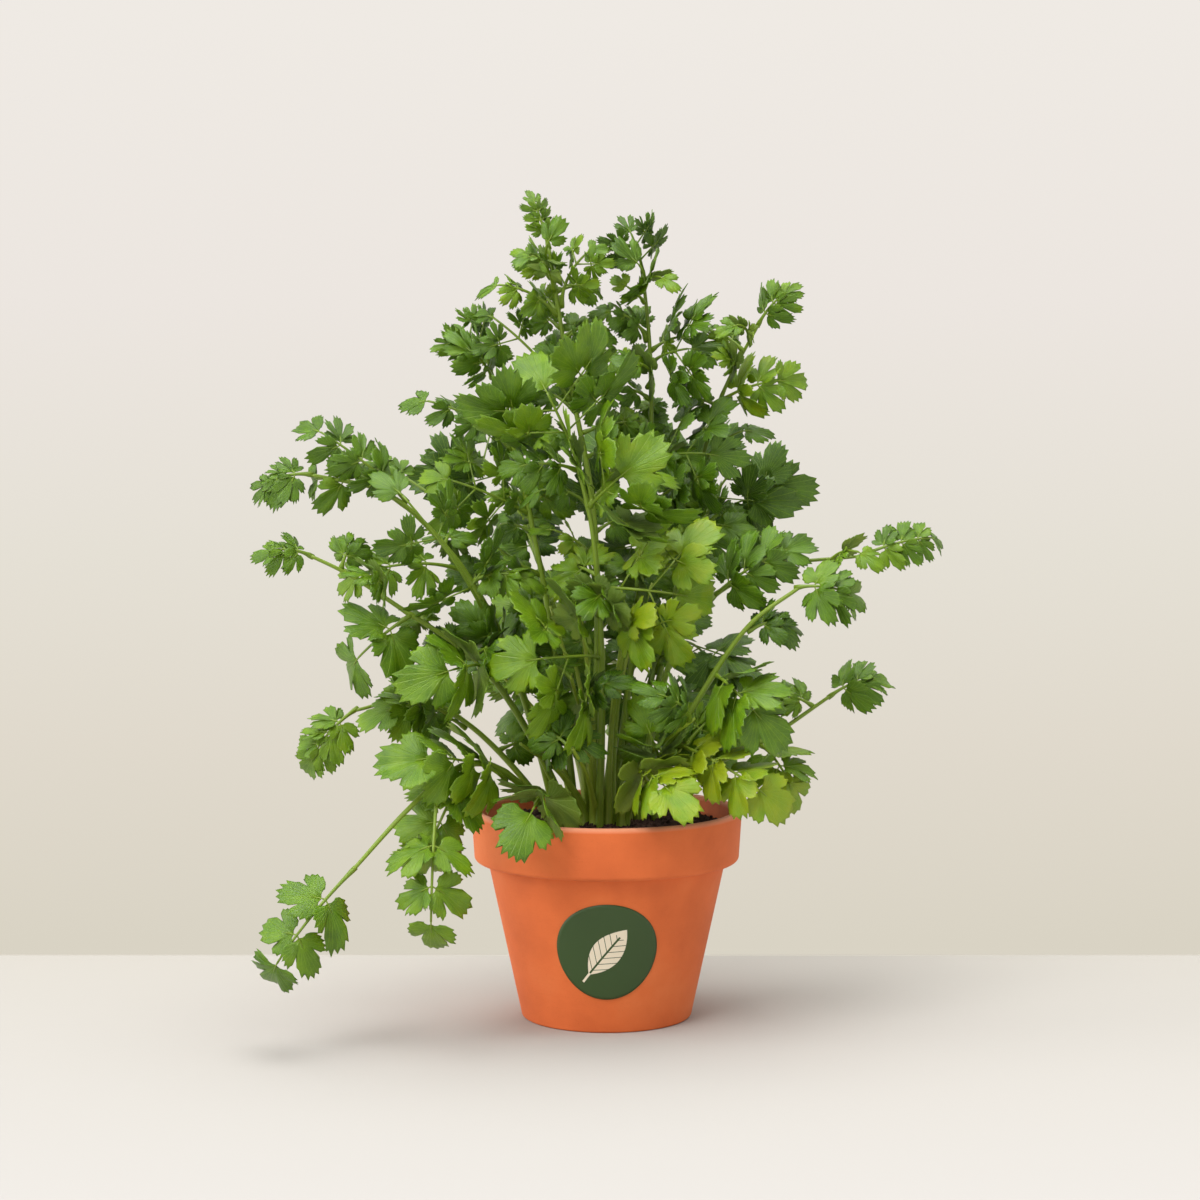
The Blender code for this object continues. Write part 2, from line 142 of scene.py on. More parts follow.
def wall_glow(slope):
    """The backdrop's painted glow, lighter upwards, by how far down the camera looks at it."""
    return ramp(between(slope, *WALL_SLOPES), WALL_GLOW_COLOURS)


def finish(colour, roughness, specular=0.5):
    """The colour, the roughness and the shine of the surface that is being built."""
    link(colour, surface.inputs["Base Color"])
    surface.inputs["Roughness"].default_value = roughness
    surface.inputs["Specular IOR Level"].default_value = specular


floor_mesh = bpy.data.meshes.new("floor")
bearings = [math.tau * i / FLOOR_SIDES for i in range(FLOOR_SIDES)]
floor_edge = [(FLOOR_RADIUS * math.cos(a), FLOOR_RADIUS * math.sin(a), 0.0) for a in bearings]
floor_mesh.from_pydata(floor_edge, [], [tuple(range(FLOOR_SIDES))])
floor = new_object("floor", floor_mesh)
floor_material, tree, surface = new_material("studio floor")
place = add_node("ShaderNodeTexCoord").outputs["Object"]
depth = split_axes(place)["Y"]
ground = blend(between(depth, FLOOR_FRONT, WALL_LINE), FLOOR_NEAR, FLOOR_FAR)
slope = maths("DIVIDE", CAMERA_PLACE[2], maths("MAXIMUM", maths("SUBTRACT", depth, CAMERA_PLACE[1]), 0.1))
# Past the wall line the floor turns black and glows with the painted backdrop, a painted light that takes no
# shadow.
glowing_backdrop = between(depth, WALL_LINE - LINE_BLUR, WALL_LINE + LINE_BLUR)
finish(blend(glowing_backdrop, ground, BLACK), 0.9, 0.0)
link(wall_glow(slope), surface.inputs["Emission Color"])
link(glowing_backdrop, surface.inputs["Emission Strength"])
floor_mesh.materials.append(floor_material)

world = bpy.data.worlds.new("studio")
world.use_nodes = True
tree = world.node_tree
direction = add_node("ShaderNodeTexCoord").outputs["Generated"]
height = split_axes(direction)["Z"]
room = blend(between(height, *CEILING_HEIGHTS), ROOM_COLOUR, CEILING_COLOUR)
around = blend(between(height, *ROOM_HEIGHTS), wall_glow(times(height, -1.0)), room)
link(around, tree.nodes["Background"].inputs["Color"])
scene.world = world

for name, energy, angle, turn in LIGHTS:
    light = bpy.data.lights.new(name, "SUN")
    light.energy = energy
    light.angle = math.radians(angle)
    new_object(name, light).rotation_euler = [math.radians(a) for a in turn]

camera_data = bpy.data.cameras.new("camera")
camera_data.lens = CAMERA_LENS
camera_data.sensor_width = 36.0
camera = new_object("camera", camera_data)
camera.location = CAMERA_PLACE
camera.rotation_euler = (math.pi / 2 - CAMERA_PITCH, 0.0, 0.0)
scene.camera = camera
scene.view_settings.view_transform = "Standard"

# The pot. Terracotta, pressed and turned in one piece, with a thick band round the rim and a drainage
# hole in its floor. It is unglazed: matt, faintly speckled, with fine rings left by the turning.
pot_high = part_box("pot")[1]
RIM_RADIUS = pot_high.x
POT_HEIGHT = pot_high.z
RIM_FOOT_RADIUS = 0.0735
RIM_HEIGHT = 0.0284
BODY_TOP_RADIUS = 0.0658
BASE_RADIUS = 0.047
BASE_INSET = 0.0012
BASE_ROUND = 0.0016
WALL = 0.0060
POT_FLOOR = 0.0090
DRAIN_RADIUS = 0.0100
DRAIN_BEVEL = 0.001
LIP_ROUND = 0.0026
BAND_FILLET = 0.0008
POT_SIDES = 144
CLAY_SCALE = 26.0
CLAY_COLOURS = [(0.30, (0.62, 0.120, 0.022)), (0.52, (0.72, 0.148, 0.030)), (0.75, (0.77, 0.190, 0.048))]
SPECK_SCALE = 620.0
SPECK_COLOURS = [(0.05, (0.72, 0.72, 0.72)), (0.16, (1.0, 1.0, 1.0))]
# The paler band at the top of the lip, partly wear and partly a painted highlight: its depths below the top
# and its colour.
LIP_WEAR_AND_HIGHLIGHT_DEPTHS = (0.0026, 0.0004)
LIP_WEAR_AND_HIGHLIGHT_COLOUR = (0.84, 0.40, 0.25, 1.0)
TURNING_SCALE = (6.0, 6.0, 900.0)

band_foot = POT_HEIGHT - RIM_HEIGHT


def plain_mesh(piece):
    """The piece with its modifiers made real, as a plain mesh."""
    bpy.context.view_layer.update()
    finished = piece.evaluated_get(bpy.context.evaluated_depsgraph_get())
    mesh = bpy.data.meshes.new_from_object(finished)
    mesh.name = piece.name
    piece.modifiers.clear()
    piece.data = mesh
    return piece


def turned(name, profile, closed, sides):
    """Turn a profile of (radius, height) points about the Z axis."""
    mesh = bpy.data.meshes.new(name)
    edges = [(i, i + 1) for i in range(len(profile) - 1)]
    if closed:
        edges.append((len(profile) - 1, 0))
    mesh.from_pydata([(radius, 0.0, height) for radius, height in profile], edges, [])
    piece = new_object(name, mesh)
    screw = piece.modifiers.new("turn", "SCREW")
    screw.steps = sides
    screw.render_steps = sides
    screw.use_merge_vertices = True
    screw.merge_threshold = 0.00001
    screw.use_smooth_shade = True
    return plain_mesh(piece)


def corner_arc(centre, radius, start, end, steps):
    """Points of an arc about a (radius, height) centre, between two angles in degrees."""
    angles = [math.radians(start + (end - start) * i / steps) for i in range(steps + 1)]
    return [(centre[0] + radius * math.cos(a), centre[1] + radius * math.sin(a)) for a in angles]


def body_radius(height):
    """Outer radius of the pot's tapered body at a height."""
    return BASE_RADIUS + (BODY_TOP_RADIUS - BASE_RADIUS) * height / band_foot


def inner_radius(height):
    """Inner radius of the pot: it follows the body up to the band, then opens to the lip."""
    if height <= band_foot:
        return body_radius(height) - WALL
    share = (height - band_foot) / RIM_HEIGHT
    return (BODY_TOP_RADIUS + (RIM_RADIUS - BODY_TOP_RADIUS) * share) - WALL


def new_group(name, kind, inputs, outputs):
    """An empty node group with its sockets, each with what it carries."""
    group = bpy.data.node_groups.new(name, kind)
    for way, sockets in (("INPUT", inputs), ("OUTPUT", outputs)):
        for socket, carried in sockets.items():
            group.interface.new_socket(socket, in_out=way, socket_type="NodeSocket" + carried)
    return group


def add_bump(height, strength, distance):
    """Fine relief on the surface that is being built."""
    bump = add_node("ShaderNodeBump", {"Height": height, "Strength": strength, "Distance": distance})
    link(bump.outputs[0], surface.inputs["Normal"])


pot_profile = corner_arc((RIM_RADIUS - LIP_ROUND, POT_HEIGHT - LIP_ROUND), LIP_ROUND, 90, 0, 8)
pot_profile += corner_arc((RIM_FOOT_RADIUS - LIP_ROUND, band_foot + LIP_ROUND), LIP_ROUND, 0, -90, 8)
pot_profile += corner_arc((BODY_TOP_RADIUS + BAND_FILLET, band_foot - BAND_FILLET), BAND_FILLET, 90, 180, 4)
pot_profile += corner_arc((BASE_RADIUS - BASE_INSET, BASE_ROUND), BASE_ROUND, -6, -90, 6)
pot_profile += [(DRAIN_RADIUS + DRAIN_BEVEL, 0.0), (DRAIN_RADIUS, DRAIN_BEVEL), (DRAIN_RADIUS, POT_FLOOR)]
pot_profile += [(inner_radius(POT_FLOOR), POT_FLOOR), (inner_radius(band_foot), band_foot)]
inner_lip = (inner_radius(POT_HEIGHT) + LIP_ROUND, POT_HEIGHT - LIP_ROUND)
pot_profile += corner_arc(inner_lip, LIP_ROUND, 180, 90, 8)
pot = turned("terracotta_pot", pot_profile, True, POT_SIDES)
pot.data.set_sharp_from_angle(angle=math.radians(40))

grain = new_group("grain", "ShaderNodeTree", {"Scale": "Float"}, {"Colour": "Float", "Height": "Float"})
tree = grain
scale = add_node("NodeGroupInput").outputs["Scale"]
result = add_node("NodeGroupOutput").inputs
place = add_node("ShaderNodeTexCoord").outputs["Object"]
coarse = add_node("ShaderNodeTexNoise", {"Vector": place, "Scale": scale, "Detail": 6.0})
finer = times(scale, 14.0)
fine = add_node("ShaderNodeTexNoise", {"Vector": place, "Scale": finer, "Detail": 4.0})
link(coarse.outputs["Fac"], result["Colour"])
link(fine.outputs["Fac"], result["Height"])

terracotta, tree, surface = new_material("terracotta")
clay_grain = add_node("ShaderNodeGroup", {"Scale": CLAY_SCALE}, node_tree=grain).outputs
place = add_node("ShaderNodeTexCoord").outputs["Object"]
height = split_axes(place)["Z"]
clay = ramp(clay_grain["Colour"], CLAY_COLOURS)
speck = add_node("ShaderNodeTexVoronoi", {"Vector": place, "Scale": SPECK_SCALE})
spotted = blend(0.55, clay, ramp(speck.outputs["Distance"], SPECK_COLOURS), blend_type="MULTIPLY")
# A paler pink band painted along the top of the lip: partly wear, partly a painted highlight on its rounded
# edge.
lip_wear_and_highlight = between(height, POT_HEIGHT - LIP_WEAR_AND_HIGHLIGHT_DEPTHS[0], POT_HEIGHT - LIP_WEAR_AND_HIGHLIGHT_DEPTHS[1], 0.0, 0.6)
finish(blend(lip_wear_and_highlight, spotted, LIP_WEAR_AND_HIGHLIGHT_COLOUR), 0.72)
rings = add_node("ShaderNodeMapping", {"Vector": place, "Scale": TURNING_SCALE})
turning = add_node("ShaderNodeTexNoise", {"Vector": rings.outputs[0], "Scale": 1.0})
add_bump(maths("ADD", times(turning.outputs["Fac"], 0.5), clay_grain["Height"]), 0.35, 0.0004)
pot.data.materials.append(terracotta)
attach(pot, "root")
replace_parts(pot, "pot")

# The compost. Dark, moist and crumbly: one filling of the pot below a gently domed top, covered with
# loose crumbs and bits of bark between half a millimetre and five millimetres across.
SOIL_DROP = 0.0117
SOIL_DOME = 0.0035
SOIL_LEVEL = POT_HEIGHT - SOIL_DROP
SOIL_RINGS = 30
SOIL_SIDES = 120
HEAPED = 0.0022
LUMPS = [(90.0, 0.0016), (260.0, 0.0012)]
EDGE_FADE = 400.0
WALL_GAP = 0.0002
GAP = 0.0003
CRUMBS_PER_AREA = 260000.0
CRUMB_SIZES = (0.0004, 0.0018)
EARTH_SCALE = 170.0
EARTH_COLOURS = [(0.32, (0.022, 0.012, 0.009)), (0.52, (0.070, 0.037, 0.028)), (0.70, (0.15, 0.085, 0.062))]


def soil_height(radius):
    """Height of the compost's gently domed top at a distance from the pot's axis."""
    edge = inner_radius(SOIL_LEVEL)
    return SOIL_LEVEL + SOIL_DOME * (1.0 - (radius / edge) ** 2)


soil_edge = inner_radius(SOIL_LEVEL) - WALL_GAP
soil_radii = [soil_edge * i / SOIL_RINGS for i in range(SOIL_RINGS + 1)]
soil_profile = [(radius, soil_height(radius)) for radius in soil_radii]
soil_profile.append((inner_radius(band_foot) - GAP, band_foot))
soil_profile += [(inner_radius(POT_FLOOR) - GAP, POT_FLOOR + GAP), (0.0, POT_FLOOR + GAP)]
soil = turned("compost", soil_profile, False, SOIL_SIDES)
for vertex in soil.data.vertices:
    if vertex.co.z > SOIL_LEVEL - 0.001:
        lump = sum(noise.noise(vertex.co * pitch) * rise for pitch, rise in LUMPS)
        vertex.co.z += HEAPED + lump * min(1.0, (soil_edge - vertex.co.xy.length) * EDGE_FADE)

compost, tree, surface = new_material("compost")
soil_grain = add_node("ShaderNodeGroup", {"Scale": EARTH_SCALE}, node_tree=grain).outputs
finish(ramp(soil_grain["Colour"], EARTH_COLOURS), 0.92, 0.25)
add_bump(soil_grain["Height"], 0.8, 0.0008)
soil.data.materials.append(compost)

crumb_inputs = {"Geometry": "Geometry", "Density": "Float", "Smallest": "Float", "Largest": "Float",
                "Material": "Material"}
crumbs_tree = new_group("crumbs", "GeometryNodeTree", crumb_inputs, {"Geometry": "Geometry"})
tree = crumbs_tree
given = add_node("NodeGroupInput").outputs
result = add_node("NodeGroupOutput").inputs
facing = split_axes(add_node("GeometryNodeInputNormal").outputs[0])["Z"]
upward = add_node("FunctionNodeCompare", {0: facing, 1: 0.5}, operation="GREATER_THAN").outputs[0]
scatter = add_node("GeometryNodeDistributePointsOnFaces",
                   {"Mesh": given["Geometry"], "Selection": upward, "Density": given["Density"], "Seed": 4})
crumb = add_node("GeometryNodeMeshIcoSphere", {"Radius": 1.0, "Subdivisions": 1}).outputs["Mesh"]
shape = add_node("FunctionNodeRandomValue", {"Min": (0.6, 0.5, 0.4), "Max": (1.4, 1.2, 0.9), "Seed": 1},
                 data_type="FLOAT_VECTOR").outputs[0]
spin = add_node("FunctionNodeRandomValue", {"Min": (0, 0, 0), "Max": (6.28, 6.28, 6.28), "Seed": 2},
                data_type="FLOAT_VECTOR").outputs[0]
size = add_node("FunctionNodeRandomValue", {2: given["Smallest"], 3: given["Largest"], "Seed": 3},
                data_type="FLOAT").outputs[1]
scale = add_node("ShaderNodeVectorMath", {0: shape, "Scale": size}, operation="SCALE").outputs[0]
turn = add_node("FunctionNodeEulerToRotation", {0: spin}).outputs[0]
placed = add_node("GeometryNodeInstanceOnPoints", {"Points": scatter.outputs["Points"], "Instance": crumb,
                                                   "Rotation": turn, "Scale": scale})
real = add_node("GeometryNodeRealizeInstances", {"Geometry": placed.outputs[0]}).outputs[0]
painted = add_node("GeometryNodeSetMaterial", {"Geometry": real, "Material": given["Material"]})
link(painted.outputs[0], result["Geometry"])

crumbs = new_object("compost_crumbs", soil.data.copy())
scattered = crumbs.modifiers.new("crumbs", "NODES")
scattered.node_group = crumbs_tree
wanted = {"Density": CRUMBS_PER_AREA, "Smallest": CRUMB_SIZES[0], "Largest": CRUMB_SIZES[1],
          "Material": compost}
for item in crumbs_tree.interface.items_tree:
    if item.in_out == "INPUT" and item.name in wanted:
        scattered[item.identifier] = wanted[item.name]
crumbs = plain_mesh(crumbs)
for piece in (soil, crumbs):
    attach(piece, "root")
    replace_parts(piece, "soil")

# The sticker. A thin round label of printed film, wrapped on the front of the pot: a dark green ground
# with one plain cream leaf on it.
LABEL_RADIUS = 0.0275
LABEL_HEIGHT = 0.0465
LABEL_THICKNESS = 0.0004
LABEL_RINGS = 16
LABEL_SIDES = 96
LABEL_GREEN = (0.030, 0.068, 0.012, 1.0)
LABEL_CREAM = (0.80, 0.71, 0.55, 1.0)
# The printed leaf, in shares of the label's width.
PRINT_TURN = math.radians(52)
PRINT_HALF = 0.30
PRINT_BELLY = 0.145
PRINT_RIB = (0.010, 0.20)
PRINT_VEIN = 0.0045
VEIN_SPACING = 0.040
VEIN_SLANT = -0.9
PRINT_STALK = (0.012, 0.34, 0.06)

label_slope = math.atan2(BODY_TOP_RADIUS - BASE_RADIUS, band_foot)
label_points = [(0.0, 0.0)]
for ring in range(1, LABEL_RINGS + 1):
    reach = LABEL_RADIUS * ring / LABEL_RINGS
    for i in range(LABEL_SIDES):
        angle = math.tau * i / LABEL_SIDES
        label_points.append((reach * math.cos(angle), reach * math.sin(angle)))
label_verts = []
for across, up in label_points:
    height = LABEL_HEIGHT + up * math.cos(label_slope)
    radius = body_radius(height) + GAP
    turn = across / body_radius(LABEL_HEIGHT)
    label_verts.append((radius * math.sin(turn), -radius * math.cos(turn), height))
label_faces = []
for i in range(LABEL_SIDES):
    j = (i + 1) % LABEL_SIDES
    label_faces.append((0, 1 + i, 1 + j))
    for ring in range(LABEL_RINGS - 1):
        inner, outer = 1 + ring * LABEL_SIDES, 1 + (ring + 1) * LABEL_SIDES
        label_faces.append((inner + i, outer + i, outer + j, inner + j))
label_mesh = bpy.data.meshes.new("round_sticker")
label_mesh.from_pydata(label_verts, [], label_faces)
label_map = label_mesh.uv_layers.new(name="printed")
for loop in label_mesh.loops:
    across, up = label_points[loop.vertex_index]
    label_map.data[loop.index].uv = (0.5 + 0.5 * across / LABEL_RADIUS, 0.5 + 0.5 * up / LABEL_RADIUS)
label_mesh.shade_smooth()
label = new_object("round_sticker", label_mesh)
film = label.modifiers.new("thickness", "SOLIDIFY")
film.thickness = LABEL_THICKNESS
film.offset = 1.0
label = plain_mesh(label)

printed, tree, surface = new_material("printed film")
place = add_node("ShaderNodeUVMap", uv_map="printed").outputs[0]
print_place = {"Vector": place, "Location": (0.5, 0.5, 0.0), "Rotation": (0.0, 0.0, PRINT_TURN)}
print_turn = add_node("ShaderNodeMapping", print_place, vector_type="TEXTURE").outputs[0]
axes = split_axes(print_turn)
along = maths("DIVIDE", axes["X"], PRINT_HALF)
belly = times(maths("SUBTRACT", 1.0, times(along, along)), PRINT_BELLY)
across = maths("ABSOLUTE", axes["Y"])
blade_mask = maths("LESS_THAN", across, belly)
rib_gap = maths("LESS_THAN", across, PRINT_RIB[0])
rib_reach = maths("LESS_THAN", axes["X"], PRINT_RIB[1])
veins = maths("PINGPONG", maths("ADD", axes["X"], times(across, VEIN_SLANT)), VEIN_SPACING)
vein_gap = maths("LESS_THAN", veins, PRINT_VEIN)
gap_mask = times(maths("MAXIMUM", rib_gap, vein_gap), rib_reach)
leaf_mask = times(blade_mask, maths("SUBTRACT", 1.0, gap_mask))
stalk_width = maths("LESS_THAN", across, PRINT_STALK[0])
stalk_reach = maths("LESS_THAN", maths("ABSOLUTE", maths("ADD", axes["X"], PRINT_STALK[1])), PRINT_STALK[2])
inked = maths("MAXIMUM", leaf_mask, times(stalk_width, stalk_reach))
link(blend(inked, LABEL_GREEN, LABEL_CREAM), surface.inputs["Base Color"])
film_grain = add_node("ShaderNodeGroup", {"Scale": 60.0}, node_tree=grain).outputs
link(between(film_grain["Colour"], 0.0, 1.0, 0.42, 0.58), surface.inputs["Roughness"])
label.data.materials.append(printed)
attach(label, "root")
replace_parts(label, "label")

# The stems. Fresh green stalks, round and finely ribbed, that rise in a bunch from the compost and
# arch outwards. Each thins towards its tip and swells a little where a leaf is joined.
MM = 0.001
FOOT_RISE = 0.008
FOOT_SINK = 0.004
FOOT_WIDTH = 1.15
STEM_SIDES = 16
STEM_RINGS = 64
STEM_RIBS = 8
RIB_DEPTH = 0.05
JOINT_SWELL = 0.22
JOINT_LENGTH = 0.004
STEM_TONE = 0.55
STALK_COLOURS = [(0.25, (0.075, 0.14, 0.006)), (0.5, (0.17, 0.27, 0.012)), (0.8, (0.34, 0.44, 0.04))]

# By number: radius at the foot and at the tip, then the route, in millimetres above the compost.
STEMS = {
    1: (2.4, 0.9, [(-8, -10, 0), (-5, -14, 107), (-8, -10, 183), (-20, -6, 248), (-32, -4, 322)]),
    2: (2.1, 0.9, [(4, 2, 0), (16, 8, 110), (24, 14, 199), (24, 16, 265), (20, 14, 308)]),
    3: (2.0, 0.8, [(14, 8, 0), (34, 18, 104), (48, 22, 182), (64, 18, 240), (84, 8, 280)]),
    4: (2.2, 0.9, [(-18, -2, 0), (-28, -2, 95), (-42, 4, 172), (-56, 8, 228), (-67, 6, 264)]),
    5: (2.3, 1.0, [(-29, -10, 0), (-55, -28, 104), (-84, -40, 156), (-118, -46, 188), (-158, -50, 198)]),
    6: (2.2, 0.9, [(-22, -20, 0), (-64, -44, 92), (-110, -60, 128), (-138, -68, 147), (-156, -70, 156)]),
    7: (1.9, 0.9, [(-35, 2, 0), (-74, -4, 57), (-105, -10, 74), (-138, -16, 68)]),
    8: (2.2, 1.0, [(-31, -24, 0), (-63, -52, 43), (-82, -70, 42), (-104, -86, 24), (-132, -98, -6)]),
    9: (2.4, 1.0, [(-4, -25, 0), (-3, -38, 100), (-8, -50, 170), (-18, -56, 212)]),
    10: (2.1, 0.8, [(17, -7, 0), (45, -22, 118), (85, -28, 146), (138, -20, 153)]),
    11: (2.1, 1.0, [(11, -20, 0), (42, -44, 66), (76, -52, 118), (102, -54, 138)]),
    12: (1.9, 0.9, [(27, 2, 0), (58, 5, 34), (90, 7, 50), (125, 6, 74)]),
    13: (2.2, 1.0, [(-10, 10, 0), (-22, 40, 90), (-40, 60, 150), (-56, 70, 186)]),
    14: (2.2, 1.0, [(7, 17, 0), (26, 48, 80), (46, 64, 140), (58, 72, 172)]),
}


def smooth_route(points, per_span=12):
    """Many points on a smooth curve through the route's own points, evenly paced for uneven spans."""
    ends = [2 * points[0] - points[1]] + points + [2 * points[-1] - points[-2]]
    curve = []
    for span in zip(ends, ends[1:], ends[2:], ends[3:]):
        pace = [0.0]
        for here, there in zip(span, span[1:]):
            pace.append(pace[-1] + math.sqrt((there - here).length))
        for step in range(per_span):
            t = pace[1] + (pace[2] - pace[1]) * step / per_span
            level = list(span)
            for reach in (1, 2):
                level = [here.lerp(there, (t - pace[i]) / (pace[i + reach] - pace[i]))
                         for i, (here, there) in enumerate(zip(level, level[1:]))]
            curve.append(level[0].lerp(level[1], (t - pace[1]) / (pace[2] - pace[1])))
    return curve + [points[-1]]


def point_along(curve, share):
    """The place and the direction at a share of the curve's length."""
    lengths = [(b - a).length for a, b in zip(curve, curve[1:])]
    left = share * sum(lengths)
    for a, b, length in zip(curve, curve[1:], lengths):
        if left <= length:
            return a.lerp(b, left / length), (b - a).normalized()
        left -= length
    return curve[-1].copy(), (curve[-1] - curve[-2]).normalized()


def stem_curve(number):
    """A stem's curve in metres. It leaves the compost upright."""
    route = STEMS[number][2]
    foot = Vector((route[0][0] * MM, route[0][1] * MM, 0.0))
    foot.z = soil_height(foot.xy.length) + GAP
    above = [Vector((x * MM, y * MM, SOIL_LEVEL + z * MM)) for x, y, z in route[1:]]
    return smooth_route([foot, foot + Vector((0.0, 0.0, FOOT_RISE))] + above)


def stem_radius(number, share):
    foot, tip, _ = STEMS[number]
    return (foot + (tip - foot) * share) * MM


def stem_route(curve, rings):
    """Where the rings of a stem stand, from its foot in the compost to its tip."""
    buried = curve[0] - Vector((0.0, 0.0, FOOT_SINK))
    return [buried] + [point_along(curve, i / rings)[0] for i in range(rings + 1)]


def curve_length(curve):
    return sum((b - a).length for a, b in zip(curve, curve[1:]))


class Growth:
    """Points and faces of plant parts as they are added: round stalks and flat blades."""

    def __init__(self):
        self.points, self.faces, self.places, self.tones = [], [], [], []

    def add_point(self, point, place, tone):
        self.points.append(point)
        self.places.append(place)
        self.tones.append(tone)
        return len(self.points) - 1

    def add_stalk(self, route, radii, sides, tone, ribs=0):
        """A round stalk along the route, closed at both ends."""
        rings = []
        across = None
        for i, (place, radius) in enumerate(zip(route, radii)):
            along = (route[min(i + 1, len(route) - 1)] - route[max(i - 1, 0)]).normalized()
            guide = across if across is not None else along.orthogonal()
            across = (guide - along * guide.dot(along)).normalized()
            other = along.cross(across)
            ring = []
            for k in range(sides):
                angle = math.tau * k / sides
                wide = radius * (1.0 + RIB_DEPTH * math.cos(ribs * angle) if ribs else 1.0)
                out = across * math.cos(angle) + other * math.sin(angle)
                ring.append(self.add_point(place + out * wide, (k / sides, i / (len(route) - 1)), tone))
            rings.append(ring)
        for low, high in zip(rings, rings[1:]):
            for k in range(sides):
                j = (k + 1) % sides
                self.faces.append((low[k], low[j], high[j], high[k]))
        self.faces += [tuple(reversed(rings[0])), tuple(rings[-1])]

    def made(self, name):
        """The points and faces as an object, with a map of each part and its tone."""
        mesh = bpy.data.meshes.new(name)
        mesh.from_pydata(self.points, [], self.faces)
        grown = mesh.uv_layers.new(name="grown")
        for loop in mesh.loops:
            grown.data[loop.index].uv = self.places[loop.vertex_index]
        tone = mesh.attributes.new("tone", "FLOAT", "POINT")
        tone.data.foreach_set("value", self.tones)
        mesh.shade_smooth()
        return new_object(name, mesh)


